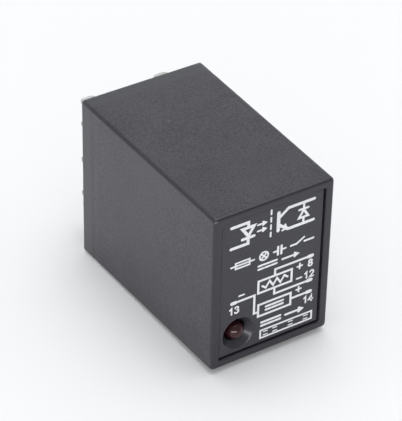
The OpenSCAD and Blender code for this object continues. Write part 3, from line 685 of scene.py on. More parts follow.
def makeBoardMaterial(backSide):
    # brown laminate with fibre flecks; the copper side carries a green mask
    material, tree, shader, place = newMaterial("boardLaminate")
    flecks = noise(tree, stretched(tree, place, (1, 0.25, 1)), 2600.0, 4.0, 0.7)
    paper = mixed(tree, stepped(tree, flecks, 0.35, 0.7), (0.30, 0.17, 0.065), (0.40, 0.25, 0.11))
    clouds = stepped(tree, noise(tree, place, 200.0, 3.0), 0.35, 0.7)
    mask = mixed(tree, clouds, (0.012, 0.11, 0.045), (0.02, 0.15, 0.06))
    front = stepped(tree, component(tree, place, "X"), (backSide + 0.02) * mm, (backSide + 0.06) * mm)
    look = {**skinLook, "grain": 0.0002, "depth": 0.000005, "rough": 0.34, "rubbed": (0.35, 0.25, 0.14),
            "wear": 0.5}
    addSkin(tree, shader, place, look, mixed(tree, front, mask, paper))
    return material


thermalCloth, redEpoxy = makePadMaterial(), makeLensMaterial()
maskedTrack = skinMaterial("maskedTrack", {
    "dark": (0.03, 0.20, 0.075), "light": (0.045, 0.25, 0.10), "rubbed": (0.35, 0.22, 0.10), "rough": 0.25,
    "grain": 0.0003,
}, Coat_Weight=0.3)
print("materials made:", len(bpy.data.materials))


# Case

caseSize = {
    "taper": 0.4, "wall": 1.3, "mouthWall": 0.9, "longRound": 0.6, "endRound": 0.5, "endWall": 2.2,
    "rim": 1.4, "rimRound": 0.3, "rimEdge": 0.22, "mouthEdge": 0.12, "innerRound": 0.4, "pocketRound": 0.5,
    "webHole": 4.2, "pocketDepth": 5.55, "grooveDepth": 0.2, "grooveLength": 10.3,
    "groove": [(4.05, 0), (3.75, 1), (3.05, 1), (2.75, 0)],  # from the mouth inwards, and share of its depth
    "sinkAt": 3.4, "sinkWidth": 0.5, "sinkDepth": 0.02, "sinkSpan": (0.6, 6.0), "sinkCorner": (1.2, 0.6),
}
caseLow, caseHigh = nodeBox("case")
caseW, caseL, caseH = caseHigh - caseLow
frontY, rearY = caseLow[1], caseHigh[1]
midZ = (caseLow[2] + caseHigh[2]) / 2
plateLow, plateHigh = nodeBox("front_plate")
lensLow, lensHigh = nodeBox("indicator_lens")
lampX, lampZ = (lensLow[0] + lensHigh[0]) / 2, (lensLow[2] + lensHigh[2]) / 2
plateSize = {
    "thick": 1.1, "closer": 0.1, "edge": 0.16, "corner": 0.3, "dish": 5.6, "hole": 3.6, "lip": 0.45,
    "peg": 1.2, "pegInset": 2.2, "pegLength": 0.7, "pegRoot": 0.05, "pegEdge": 0.1,
}
plateBack = plateLow[1] + plateSize["thick"]


def makeCase():
    # rounded rectangles carried once round the wall: outside from the mouth to the rim, down the recess,
    # through the lamp hole and back along the inside to the mouth
    s, mouth = caseSize, caseSize["mouthEdge"]

    def plain(width, height, radius, more=0.0):
        return roundRect(width + 2 * more, height + 2 * more, radius, 10, 14)

    def leaning(y, less=0.0, radius=s["longRound"]):  # less all round, after the lean of the mould at y
        return plain(caseW, caseH, radius, -(s["taper"] * (rearY - y) / caseL + less))

    rings = [(leaning(rearY, less), rearY - rise) for less, rise in quarter(mouth)]
    sinkStart, sinkEnd = s["sinkSpan"]
    fromCorner, fadeOver = s["sinkCorner"]
    for y in np.linspace(rearY - sinkStart, rearY - sinkEnd, 19):  # a faint hollow runs over the snap groove
        shape = leaning(y)
        dip = s["sinkDepth"] * np.exp(-((rearY - s["sinkAt"] - y) / s["sinkWidth"]) ** 2)
        near = np.clip((np.abs(shape[:, 0]) - (caseW / 2 - fromCorner)) / fadeOver, 0, 1)
        shape[:, 0] -= np.sign(shape[:, 0]) * near * dip
        rings.append((shape, y))
    rings += [(leaning(y), y) for y in np.linspace(rearY - 9, frontY + s["endRound"] + 0.25, 8)]
    rings += [(leaning(frontY + rise, less), frontY + rise) for rise, less in quarter(s["endRound"], 7)]
    inW, inH = caseW - 2 * (s["taper"] + s["rim"]), caseH - 2 * (s["taper"] + s["rim"])
    for grow, rise in quarter(s["rimEdge"]):
        rings.append((plain(inW, inH, s["rimRound"] + grow, grow), frontY + rise))
    recess = plain(inW, inH, s["rimRound"])
    hole = towards(recess, np.array([lampX, lampZ - midZ]), s["webHole"] / 2)
    cavityY = frontY + s["endWall"]
    rings += [(recess, plateBack), (hole, plateBack), (hole, cavityY)]
    inside = np.linspace(cavityY, rearY - s["pocketDepth"], 6)
    rings += [(leaning(y, s["wall"], s["innerRound"]), y) for y in inside]
    pocketW, pocketH = caseW - 2 * s["mouthWall"], caseH - 2 * s["mouthWall"]
    for back, share in [(s["pocketDepth"], 0), *s["groove"], (mouth, 0)]:
        shape = plain(pocketW, pocketH, s["pocketRound"])
        inGroove = (np.abs(shape[:, 1]) < s["grooveLength"] / 2) & (np.abs(shape[:, 0]) > pocketW / 2 - 0.1)
        shape[:, 0] += np.sign(shape[:, 0]) * inGroove * share * s["grooveDepth"]
        rings.append((shape, rearY - back))
    for grow, rise in quarter(mouth)[::-1][1:]:
        rings.append((plain(pocketW, pocketH, s["pocketRound"], grow), rearY - rise))
    verts, _ = loft(rings, alongY(0, 0, midZ), caps=False)
    shell = (verts, gridFaces(len(rings), len(rings[0][0]), wrapRows=True))
    makePiece("caseShell", [shell], casePlastic, "cover", ["case"])


def makeFrontPlate():
    # one ring round the lamp: back, rounded outer edge, face, rounded lip, dish, hole, and back again
    s, closer = plateSize, plateSize["closer"]  # the face spreads over a little of the two wide gaps
    w, h = plateHigh[0] - plateLow[0], plateHigh[2] - plateLow[2]
    middle = np.array([(plateHigh[0] + plateLow[0]) / 2, (plateHigh[2] + plateLow[2]) / 2])
    outline = roundRect(w + closer, h + closer, s["corner"], 8, 16) + middle + [closer / 2, -closer / 2]
    lamp = np.array([lampX, lampZ])
    top, lip, thick = plateLow[1], s["lip"], s["thick"]
    rings = [(inset(outline, i), d) for i, d in roundedSteps(top, plateBack, s["edge"], s["edge"])[::-1]]
    dishR, holeR = s["dish"] / 2, s["hole"] / 2
    slope = atan2(thick, dishR - holeR)
    start = dishR + lip * tan(slope / 2)
    for a in np.linspace(0, slope, 6):
        rings.append((towards(outline, lamp, start - lip * sin(a)), top + lip * (1 - cos(a))))
    for share in np.linspace(0.15, 0.97, 7):
        rings.append((towards(outline, lamp, dishR - (dishR - holeR) * share), top + thick * share))
    rings.append((towards(outline, lamp, holeR), plateBack))
    verts, _ = loft(rings, alongY(0, 0, 0), caps=False)
    parts = [(verts, gridFaces(len(rings), len(outline), wrapRows=True))]
    inX, inZ, r, length = w / 2 - s["pegInset"], h / 2 - s["pegInset"], s["peg"] / 2, s["pegLength"]
    root, edge = -s["pegRoot"], s["pegEdge"]
    peg = [(0, root), (r, root), (r, length - edge), (r - edge, length), (0, length)]
    for sx, sz in ((1, 1), (-1, 1), (1, -1)):
        parts.append(lathe(peg, alongY(middle[0] + sx * inX, plateBack, middle[1] + sz * inZ), 24))
    makePiece("frontPlate", parts, platePlastic, "cover", ["front_plate"])


makeCase()
makeFrontPlate()
print("case and front plate made")


# Label print: a generic wiring diagram and plain terminal numbers

printSize = {  # pen widths, then the height of the ink, of the numbers and of the signs
    "blade": 0.20, "numeral": 0.29, "thin": 0.30, "medium": 0.34, "line": 0.38, "bold": 0.50, "heavy": 0.60,
    "pad": 0.62, "padLong": 0.64, "high": 0.016, "step": 0.0004, "edge": 0.004, "number": 1.12, "sign": 0.86,
}
diagram = {  # places in millimetres from the left and the top of the label face
    "load": (8.125, 14.0, 14.0, 16.175), "input": (8.25, 18.375, 14.0, 20.5),
    "loadTop": 12.875, "loadBottom": 17.325, "lead": 11.0, "right": 17.6, "inputLead": 19.45,
    "pad13": (3.9, 16.25), "turn13": 7.5, "join13": 19.625,
    "numbers": {"8": (17.3, 14.1), "12": (17.15, 16.15), "14": (17.2, 20.75), "13": (3.95, 17.65)},
    "plus": [(15.4, 14.0), (15.4, 18.25)], "minus": [(15.4, 16.2), (5.2, 15.3)],
}
symbols = [  # kind, pen and places, in millimetres from the left and the top
    # a lamp diode that shines across a gap on a transistor
    ("line", "bold", (3.1, 2.6), (6.0, 2.6), (6.0, 3.5)),
    ("line", "bold", (3.1, 6.3), (6.0, 6.3), (6.0, 5.4)),
    ("loop", "bold", (5.0, 3.5), (7.0, 3.5), (6.0, 5.0)), ("line", "bold", (5.0, 5.3), (7.0, 5.3)),
    ("arrow", "thin", (7.6, 3.7), (9.0, 3.7), 0.5), ("arrow", "thin", (7.6, 4.8), (9.0, 4.8), 0.5),
    *[("line", "thin", (9.9, v - 0.35), (9.9, v + 0.35)) for v in (2.3, 3.6, 4.9, 6.2)],
    ("line", "heavy", (11.2, 2.9), (11.2, 6.0)), ("line", "bold", (11.2, 3.9), (12.9, 2.6), (14.0, 2.6)),
    ("line", "bold", (11.2, 5.0), (12.9, 6.3), (14.0, 6.3)),
    ("line", "thin", (11.9, 6.25), (12.7, 6.15), (12.4, 5.35)),
    ("line", "bold", (14.0, 2.6), (17.4, 2.6)), ("line", "bold", (14.0, 6.3), (17.4, 6.3)),
    ("line", "line", (15.6, 2.6), (15.6, 3.6)), ("loop", "line", (14.8, 5.2), (16.4, 5.2), (15.6, 3.9)),
    ("line", "line", (14.8, 3.75), (16.4, 3.75)), ("line", "line", (15.6, 5.3), (15.6, 6.3)),
    # a row of small symbols: fuse, lamp, capacitor and contact
    ("box", "thin", 4.0, 9.15, 6.4, 10.15), ("line", "thin", (3.2, 9.65), (7.2, 9.65)),
    ("bulb", "thin", (8.9, 9.65), 0.72), ("line", "thin", (10.6, 9.65), (11.35, 9.65)),
    ("line", "line", (11.35, 8.95), (11.35, 10.35)), ("line", "line", (11.95, 8.95), (11.95, 10.35)),
    ("line", "thin", (11.95, 9.65), (12.7, 9.65)),
    ("line", "medium", (13.6, 9.65), (14.6, 9.65), (15.9, 8.9)),
    ("line", "medium", (16.0, 9.65), (17.6, 9.65)),
    # direct current out and in
    ("direct", "medium", (8.0, 11.2), 3.2, 0.62), ("arrow", "medium", (12.2, 11.5), (14.9, 11.5), 0.55),
    ("direct", "line", (8.9, 21.85), 3.4, 0.62), ("arrow", "line", (13.2, 22.15), (16.2, 22.15), 0.6),
    # the blade pattern, on its side
    ("box", "thin", 8.8, 23.35, 18.0, 24.75),
    *[("line", "blade", (u - 0.35, v), (u + 0.35, v))
      for u in (9.7, 11.4, 14.2, 16.9) for v in (23.75, 24.35)],
]


def makePrint():
    # every mark is a pen line in the label's own u and v, raised as a thin sheet of ink
    p, d = printSize, diagram
    left, top = caseLow[0] + caseSize["taper"], caseHigh[2] - caseSize["taper"]
    lines = []

    def line(pen, *points, closed=False):
        lines.append((np.asarray(points, float), p[pen], closed))

    def loop(pen, *points):
        line(pen, *points, closed=True)

    def box(pen, u0, v0, u1, v1):
        loop(pen, (u0, v0), (u1, v0), (u1, v1), (u0, v1))

    def bulb(pen, middle, radius):  # a ring with a cross in it
        loop(pen, *circle(radius, 28, middle))
        for across in radius * onCircle(np.array([pi / 4, -pi / 4])):
            line(pen, middle - across, middle + across)

    def direct(pen, start, length, gap):  # a whole line over a broken one
        u, v = start
        dash = length / 3.7
        line(pen, (u, v), (u + length, v))
        for at in (u, u + 1.35 * dash, u + 2.7 * dash):
            line(pen, (at, v + gap), (at + dash, v + gap))

    def arrow(pen, start, tip, head):
        way = unit(np.subtract(tip, start))
        side = np.array([-way[1], way[0]]) * head * 0.6
        line(pen, start, tip - way * 0.1)
        line(pen, tip - way * head + side, tip, tip - way * head - side)

    def zigzag(pen, u0, v0, u1, v1):  # a load, in its box
        step, level = (u1 - u0 - 2.0) / 6, (v0 + v1) / 2
        teeth = [(u0 + 1.0 + step * (k + 0.5), level + 0.5 * (-1) ** k) for k in range(6)]
        line(pen, (u0 + 0.7, level), *teeth, (u1 - 0.7, level))

    box("line", *d["load"])
    box("line", *d["input"])
    loadBottom, (inLeft, inTop, inRight, inBottom) = d["load"][3], d["input"]
    line("line", (d["lead"], d["load"][1]), (d["lead"], d["loadTop"]), (d["right"], d["loadTop"]))
    line("line", (d["lead"], loadBottom), (d["lead"], d["loadBottom"]), (d["right"], d["loadBottom"]))
    zigzag("medium", *d["load"])
    line("line", (inRight, d["inputLead"]), (d["right"], d["inputLead"]))
    direct("line", (inLeft + 1.35, (inTop + inBottom) / 2 - 0.3), inRight - inLeft - 2.7, 0.6)
    padU, padV = d["pad13"]
    line("line", (padU, padV), (d["turn13"], padV), (d["turn13"], d["join13"]), (inLeft, d["join13"]))
    padsU, half = d["right"] - 0.35, p["padLong"] / 2  # wide pads where the terminals are
    for u, v in [(padsU, d[row]) for row in ("loadTop", "loadBottom", "inputLead")] + [d["pad13"]]:
        line("pad", (u - half, v), (u + half, v))
    half = p["sign"] / 2
    for u, v in d["plus"]:
        line("thin", (u - half, v), (u + half, v))
        line("thin", (u, v - half), (u, v + half))
    for u, v in d["minus"]:
        line("thin", (u - half, v), (u + half, v))
    for text, (u, v) in d["numbers"].items():
        for points, closed in numberLines(text, (u, -v), p["number"]):
            line("numeral", *points * [1, -1], closed=closed)
    kinds = {"line": line, "loop": loop, "box": box, "bulb": bulb, "direct": direct, "arrow": arrow}
    for kind, pen, *places in symbols:
        kinds[kind](pen, *places)

    parts = []
    for k, (points, width, closed) in enumerate(lines):
        loops = stroke(np.stack([left + points[:, 0], top - points[:, 1]], -1), width, closed)
        high = p["high"] + p["step"] * (k % 7)  # overlapping lines don't share a face
        parts.append(sheetPart(loops, -0.01, high, (0, p["edge"]), alongY(0, plateLow[1], 0, -1)))
    makePiece("labelPrint", parts, whitePrint, "cover")


makePrint()
print("label print made")


# Lamp

lampSize = {
    "flange": 3.8, "flangeHigh": 1.0, "flangeEdge": 0.08, "round": 3.0, "flat": 1.75,
    "cup": [(0, 2.5), (0.35, 2.6), (0.75, 3.15), (0.82, 3.1), (0.6, 2.2), (0.3, 1.9), (0, 1.9)],
    "posts": [(-1.1, 2.6), (1.1, 3.2)],  # place across the lamp, and height
    "postWide": 0.45, "armWide": 0.4, "armReach": 1.2, "armAt": 2.2,
}


def makeLamp():
    # a dome on a straight side, on a flange with one flat; inside stand the cup and the posts
    s, r = lampSize, lampSize["round"] / 2
    seatY, place = lensHigh[1], alongY(lampX, lensHigh[1], lampZ, -1)
    height = seatY - lensLow[1]
    dome = [(r * cos(a), height - r * (1 - sin(a))) for a in np.linspace(0, pi / 2, 14)]
    dome[-1] = (0, height)
    side = [(0, 0.5), (r - 0.15, 0.5), (r, 0.7), (r, s["flangeHigh"] + 0.2)]
    outline = circle(s["flange"] / 2, 56)
    outline[:, 0] = np.maximum(outline[:, 0], -s["flat"])
    flange = sheetPart([outline], 0, s["flangeHigh"], s["flangeEdge"], place)
    makePiece("lampLens", [lathe(side + dome, place, 48), flange], redEpoxy, "chassis",
              ["indicator_lens"])

    def bar(wide, start, end, upward):
        path = [(lampX, seatY - start[0], lampZ + start[1]), (lampX, seatY - end[0], lampZ + end[1])]
        return carried(roundRect(wide, wide, 0.05, 3), path, (1, 0, 0), upward, 0.05)

    arm = bar(s["armWide"], (s["armAt"], -s["armReach"]), (s["armAt"], 0), (0, 1, 0))
    posts = [bar(s["postWide"], (0, at), (top, at), (0, 0, 1)) for at, top in s["posts"]]
    makePiece("lampCup", [lathe(s["cup"], place, 32), arm, *posts], leadFrame, "chassis")


makeLamp()
print("lamp made")


# Base and blades

baseSize = {
    "fit": 0.15, "round": 0.4, "floor": 3.0, "skirt": 1.0, "edge": 0.12, "slotFit": 0.05,
    "relief": 0.8, "reliefSide": 1.0, "reliefEnd": 3.5, "snapHigh": 0.12, "snapLong": 10.0, "snapWide": 1.0,
    "numeral": 1.35, "numeralPen": 0.24, "numeralHigh": 0.16, "numeralIn": 4.0, "twoDigitsIn": 0.2,
}
bladeSize = {
    "thick": 0.5, "wide": 2.6, "shoulder": 3.6, "shoulderLong": 1.2, "tail": 1.8, "edge": 0.07,
    "eyeWide": 1.2, "eyeLong": 2.2, "eyeFromTip": 3.1,
    "tipCut": 0.7, "tipNick": 0.25, "tipThin": 0.45, "tipThinLong": 1.2,
}
baseLow, baseHigh = nodeBox("base")
baseOut, skirtY = baseHigh[1], baseLow[1]
baseIn = baseOut - baseSize["floor"]
blades = {}  # terminal number: (side, middle x, middle z)
for number in (1, 4, 5, 8, 9, 12, 13, 14):
    low, high = nodeBox(f"terminal_{number}")
    sideOf = 1 if low[0] > 0 else -1
    blades[number] = (sideOf, (low[0] + high[0]) / 2, (low[2] + high[2]) / 2)
tipY, tailY = nodeBox("terminal_1")[1][1], nodeBox("terminal_1")[0][1]


def makeBase():
    # a floor and a raised face round a sunk panel, both slotted for the blades, with a skirt
    # behind; then a snap rib on each side and the moulded numerals; the sheets overlap inside
    s, place = baseSize, alongY(0, 0, midZ)
    w, h = caseW - 2 * (caseSize["mouthWall"] + s["fit"]), caseH - 2 * (caseSize["mouthWall"] + s["fit"])
    column = max(x for _, x, _ in blades.values())
    reliefW, reliefH = 2 * column - bladeSize["shoulder"] - 2 * s["reliefSide"], h - 2 * s["reliefEnd"]
    slotW, slotH = bladeSize["wide"] + 2 * s["slotFit"], bladeSize["thick"] + 2 * s["slotFit"]
    slots = [roundRect(slotW, slotH, 0.08, 3) + [x, z - midZ] for _, x, z in blades.values()]
    outer = roundRect(w, h, s["round"], 8)
    relief = roundRect(reliefW, reliefH, s["round"], 8)
    skirtIn = roundRect(w - 2 * s["skirt"], h - 2 * s["skirt"], s["round"], 8)
    panelY = baseOut - s["relief"]
    face = sheetPart([outer, relief, *slots], panelY - 0.4, baseOut, (0, s["edge"]), place)
    floorPart = sheetPart([inset(outer, 0.02), *slots], baseIn, panelY, 0, place)
    belt = sheetPart([outer, inset(outer, 0.6)], baseIn, panelY - 0.3, 0, place)
    skirt = sheetPart([outer, skirtIn], skirtY, baseIn + 0.1, (s["edge"], 0), place)
    half, wide, proud = s["snapLong"] / 2, s["snapWide"] / 2, s["snapHigh"]
    profile = np.array([(-0.1, -wide), (proud * 0.5, -wide * 0.75), (proud, -wide / 2),
                        (proud, wide / 2), (proud * 0.5, wide * 0.75), (-0.1, wide)])
    ribs = []
    for side in (-1, 1):
        path = [(side * w / 2, baseIn + 0.1, midZ - half), (side * w / 2, baseIn + 0.1, midZ + half)]
        ribs.append(carried(profile, path, (side, 0, 0), (0, 1, 0), 0.03))
    numerals = []
    for number, (side, x, z) in blades.items():
        level = np.clip(z, midZ - reliefH / 2 + s["numeral"], midZ + reliefH / 2 - s["numeral"])
        fromMiddle = x * side - s["numeralIn"] - s["twoDigitsIn"] * (number > 9)
        middle = (-side * fromMiddle, level)  # from behind, x runs the other way
        for points, closed in numberLines(str(number), middle, s["numeral"]):
            loops = stroke(points * [-1, 1], s["numeralPen"], closed)
            numerals.append(sheetPart(loops, -0.05, s["numeralHigh"], (0, 0.03), alongY(0, panelY, 0)))
    parts = [face, floorPart, belt, skirt, *ribs, *numerals]
    makePiece("baseTray", parts, basePlastic, "chassis", ["base"])


def makeBlades():
    # the stamped outline with its eye; towards the tip both faces close in, as coined
    s = bladeSize
    half, shoulder, eyeRadius = s["wide"] / 2, s["shoulder"] / 2, s["eyeWide"] / 2
    inner, shoulderY, cut, nick = half - s["tail"], baseIn + s["shoulderLong"], s["tipCut"], s["tipNick"]
    eyeY, straight = tipY - s["eyeFromTip"], (s["eyeLong"] - s["eyeWide"]) / 2
    eye = np.concatenate([arc((0, eyeY + straight), (eyeRadius, eyeRadius), 0, 180, 12),
                          arc((0, eyeY - straight), (eyeRadius, eyeRadius), 180, 360, 12)])
    outline = np.array([
        (half, tailY), (half, baseIn), (shoulder, baseIn), (shoulder, shoulderY), (half, shoulderY),
        (half, tipY - cut), (half - nick, tipY - nick), (half - cut, tipY),
        (cut - half, tipY), (nick - half, tipY - nick), (-half, tipY - cut),
        (-half, shoulderY), (-shoulder, shoulderY), (-shoulder, baseIn), (inner, baseIn), (inner, tailY),
    ])
    for number, (side, x, z) in blades.items():

        def place(p, x=x, z=z):
            near = np.clip((p[:, 1] - (tipY - s["tipThinLong"])) / s["tipThinLong"], 0, 1)
            return np.stack([x + p[:, 0], p[:, 1], z + p[:, 2] * (1 - s["tipThin"] * near ** 2)], -1)

        piece = sheetPart([outline * [side, 1], eye], -s["thick"] / 2, s["thick"] / 2, s["edge"], place)
        makePiece(f"blade_{number}", [piece], silverPlate, "chassis",
                  [f"terminal_{number}"])


makeBase()
makeBlades()
print("base and blades made")


# Circuit board

boardLow, boardHigh = nodeBox("circuit_board")
boardX, boardBack, boardFront, boardRear = boardHigh[0], boardLow[0], boardLow[1], boardHigh[1]
leadEnd = nodeBox("capacitor_leads")[0][0]
sinkLow, sinkHigh = nodeBox("heat_sink")
bodyLow, bodyHigh = nodeBox("power_transistor_body")
linkLow, linkHigh = nodeBox("link_wire")
transistorZ = (bodyLow[2] + bodyHigh[2]) / 2
transistorPinY = nodeBox("power_transistor_frame")[1][1] - 0.25  # the middle of a lead
wireD, linkD, leadPitch = 0.55, 0.6, 2.54  # round wires, the link wire, and from lead to lead
boardSize = {
    "edge": 0.05, "notchFit": 0.1, "pad": 0.45, "padHigh": 0.03, "track": 0.75, "trackHigh": 0.032,
    "hole": {"limit": 0.84, "lamp": 0.91, "coupler": 0.98, "power": 1.14}, "holeFit": 0.2,
}
solderSize = {
    "overLead": 0.08, "foot": 0.36, "high": 0.62, "hollow": 2.2,
    "tailStart": 0.35, "tailLong": 2.6, "tailRadius": 0.55, "tailOut": 0.22, "tailFlat": (0.75, 0.9),
}
board = {  # (behind the front edge, above the middle) of each lead
    "resistorA": (6, -9.3), "resistorB": (18.5, -9.3), "diodeA": (12.75, -6.1), "diodeB": (20.25, -6.1),
    "flybackA": (20, -2.4), "flybackB": (20, 7.6), "zenerA": (10.2, 5.9), "zenerB": (15.7, 5.9),
    "smallA1": (1.4, 4.7), "smallB1": (8.9, 4.7), "smallA2": (1.4, 7.2), "smallB2": (8.9, 7.2),
    "smallA3": (1.4, 9.7), "smallB3": (8.9, 9.7), "absorberA": (12, 9.2), "absorberB": (17, 9.2),
    "capacitorA": (8.13, -6.4), "capacitorB": (10.67, -6.4),
    "limitA1": (3.33, -3.3), "limitA2": (4.6, -3.3), "limitA3": (5.87, -3.3),
    "limitB1": (3.33, 1.1), "limitB2": (4.6, 1.1), "limitB3": (5.87, 1.1),
    "couplerA": (10.73, -4.11), "couplerB": (13.27, -4.11),
    "couplerC": (10.73, 3.51), "couplerD": (13.27, 3.51),
}
board["lampA"] = (2.2, lampZ - midZ - leadPitch / 2)
board["lampB"] = (2.2, lampZ - midZ + leadPitch / 2)
board["link"] = ((linkLow[1] + linkHigh[1]) / 2 - boardFront, linkHigh[2] - linkD / 2 - midZ)
for k in (-1, 0, 1):
    board[f"power{k + 1}"] = (transistorPinY - boardFront, transistorZ - midZ + leadPitch * k)
for number in (4, 8, 12, 14):  # a blade's track ends at its tail
    board[f"blade{number}"] = (22.6, blades[number][2] - midZ)
tracks = [  # from lead to lead, some by way of a bend
    ("blade14", "diodeB"), ("diodeA", "capacitorB"), ("resistorB", (16.4, -9.3), (12.75, -7.4), "diodeA"),
    ("resistorA", "lampA"), ("lampB", "limitA1"), ("capacitorA", "couplerA"), ("limitA3", "capacitorA"),
    ("limitA2", (3.33, -1.2), "limitB1"), ("limitB3", (8.2, 3.51), "couplerC"),
    ("limitB2", (4.6, 2.2), "smallA1"), ("smallA2", "smallA3"), ("smallB1", "smallB2"),
    ("smallB3", "absorberA"), ("zenerA", "smallB1"), ("zenerB", "power2"), ("couplerD", "zenerB"),
    ("power1", (20.4, 5.0), "blade8"), ("flybackB", "blade8"), ("absorberB", "flybackB"),
    ("power0", "blade12"), ("flybackA", "blade12"), ("link", (15.6, -5.0), "couplerB"),
]
boardLaminate = makeBoardMaterial(boardBack)


def boardPlace(x, sign=1):
    # board places to the frame: distance behind the front edge, height, and depth from a face
    return alongX(x, boardFront, midZ, sign)


def pinHole(name):
    # the width of a lead's hole; round wires have the usual one
    return boardSize["hole"].get(name.rstrip("ABCD0123"), wireD + boardSize["holeFit"])


def makeBoard():
    # a sheet notched round the blades' tails and drilled for each lead; pads and tracks on its back
    s = boardSize
    half = bladeSize["thick"] / 2 + s["notchFit"]
    inY = tailY - s["notchFit"] - boardFront
    length, low, high = boardRear - boardFront, boardLow[2] - midZ, boardHigh[2] - midZ
    outline = [(0, low), (length, low)]
    for number in (14, 12, 8, 4):  # a notch for each tail of the left column
        z = blades[number][2] - midZ
        outline += [(length, z - half), (inY, z - half), (inY, z + half), (length, z + half)]
    outline += [(length, high), (0, high)]
    pins = {name: place for name, place in board.items() if not name.startswith("blade")}
    holes = [circle(pinHole(name) / 2, 16, place) for name, place in pins.items()]
    sheet = sheetPart([outline, *holes], 0, boardX - boardBack, s["edge"], boardPlace(boardBack))
    makePiece("circuitBoard", [sheet], boardLaminate, "chassis", ["circuit_board"])
    copper, back = [], boardPlace(boardBack, -1)
    for name, place in pins.items():
        radius = pinHole(name) / 2
        ring = [circle(radius + s["pad"], 24, place), circle(radius, 24, place)]
        copper.append(sheetPart(ring, 0, s["padHigh"], 0, back))
    for k, route in enumerate(tracks):
        points = [board[stop] if isinstance(stop, str) else stop for stop in route]
        high = s["trackHigh"] + 0.0005 * (k % 5)  # tracks that meet don't share a face
        copper.append(sheetPart(stroke(points, s["track"]), 0, high, (0, 0.01), back))
    makePiece("boardTracks", copper, maskedTrack, "chassis")


def makeSolder():
    # a cone round every lead, hollowed as its width falls by (1 - height) ^ 2.2, with the lead's tip
    # standing out of it; a longer mound, an ellipsoid, along both faces of each blade's tail
    s, parts = solderSize, []
    for name, (u, v) in board.items():
        if name.startswith("blade"):
            continue
        inner, foot = pinHole(name) / 2 - s["overLead"], pinHole(name) / 2 + s["foot"]
        profile = [(inner, -0.02), (foot, -0.02)]
        for t in np.linspace(0, 1, 7):
            profile.append((inner + (foot - inner) * (1 - t) ** s["hollow"], s["high"] * t))
        parts.append(lathe(profile, alongX(boardBack, boardFront + u, midZ + v, -1), 20))
    along = np.linspace(0, 1, 13)
    y = tailY + s["tailStart"] + s["tailLong"] * along
    size = np.sqrt(np.clip(1 - (2 * along - 1) ** 2, 0, 1)) * s["tailRadius"] + 0.02
    section = arc((0, 0), (1, 1), 0, 360, 17)[:-1]
    flatX, flatZ = s["tailFlat"]
    faces = gridFaces(13, 16) + [list(range(16))[::-1], list(range(12 * 16, 13 * 16))]
    for number in (4, 8, 12, 14):
        for side in (-1, 1):
            centre = blades[number][2] + side * s["tailOut"]
            rings = y[:, None, None] * np.array([0, 1, 0]) + np.array([boardBack + 0.05, 0, centre])
            spread = section[None, :, :1] * size[:, None, None] * np.array([flatX, 0, 0])
            lift = section[None, :, 1:] * size[:, None, None] * np.array([0, 0, flatZ])
            parts.append(((rings + spread + lift).reshape(-1, 3), faces))
    makePiece("solderJoints", parts, solderMetal, "chassis", ["solder_joints"], sharp=60)


makeBoard()
makeSolder()
print("circuit board made")


# Parts on the board

bandColours = {
    "brown": (0.16, 0.055, 0.02), "black": (0.012, 0.012, 0.013), "red": (0.48, 0.02, 0.018),
    "orange": (0.75, 0.20, 0.02), "gold": (0.50, 0.36, 0.10), "silver": (0.55, 0.55, 0.56),
    "green": (0.03, 0.22, 0.05), "violet": (0.20, 0.05, 0.30), "blue": (0.18, 0.34, 0.50),
    "tan": (0.60, 0.45, 0.28), "glass": (0.52, 0.15, 0.03),
}
diodes = [  # piece, node, body, ring, slot and the axis along it
    ("inputDiode", "input_diode_body", "black", "silver", "black_epoxy", "Y"),
    ("flybackDiode", "flyback_diode_body", "black", "silver", "black_epoxy", "Z"),
    ("zenerDiode", "zener_diode_body", "glass", "black", "zener_glass", "Y"),
]
drip = [(0, 1.4), (0.62, 1.3), (0.55, 0.8), (0.42, 0.35), (0.30, 0.0), (0, 0.0)]  # radius and height
couplerSteps = [  # set back on each side, and height above the lower face
    (0.4, 0.0), (0.3, 0.08), (0, 1.2), (0, 1.7), (0.06, 1.72), (0.06, 1.78), (0, 1.8), (0, 2.3),
    (0.28, 3.38), (0.34, 3.46), (0.44, 3.5),
]


def axialPlace(name):
    # the middle of an axial body, its half length and radius, and how to lay a shape along it
    low, high = nodeBox(name)
    middle = (low + high) / 2
    upright = high[2] - low[2] > high[1] - low[1]
    half = (high[2] - low[2]) / 2 if upright else (high[1] - low[1]) / 2
    radius = (high[0] - low[0]) / 2
    return middle, half, radius, alongZ if upright else alongY


def resistorProfile(half, radius):
    # thick at both caps and slimmer between, with rounded ends
    t = np.linspace(-1, 1, 41)
    waist = 0.86 + 0.14 * np.exp(-((np.abs(t) - 0.76) / 0.17) ** 2)
    paintedLightBands = np.sqrt(np.clip(1 - np.clip((np.abs(t) - 0.84) / 0.16, 0, 1) ** 2.4, 0, 1))
    r = radius * waist * np.maximum(paintedLightBands, 0.22)
    return [(0, -half)] + list(zip(r, half * t)) + [(0, half)]


def barrelProfile(half, radius, edge):
    # a cylinder with rounded rims
    low = [(radius - less, -half + rise) for less, rise in quarter(edge, 5)]
    high = [(r, -d) for r, d in low[::-1]]
    return [(0, -half)] + low + high + [(0, half)]


def striped(body, *stripes):
    # stripes of equal width at their shares of the length, between bands of the body's own colour
    bands = [(0.0, bandColours[body])]
    for share, colour in stripes:
        bands += [(share, bandColours[colour]), (share + 0.055, bandColours[body])]
    return bands


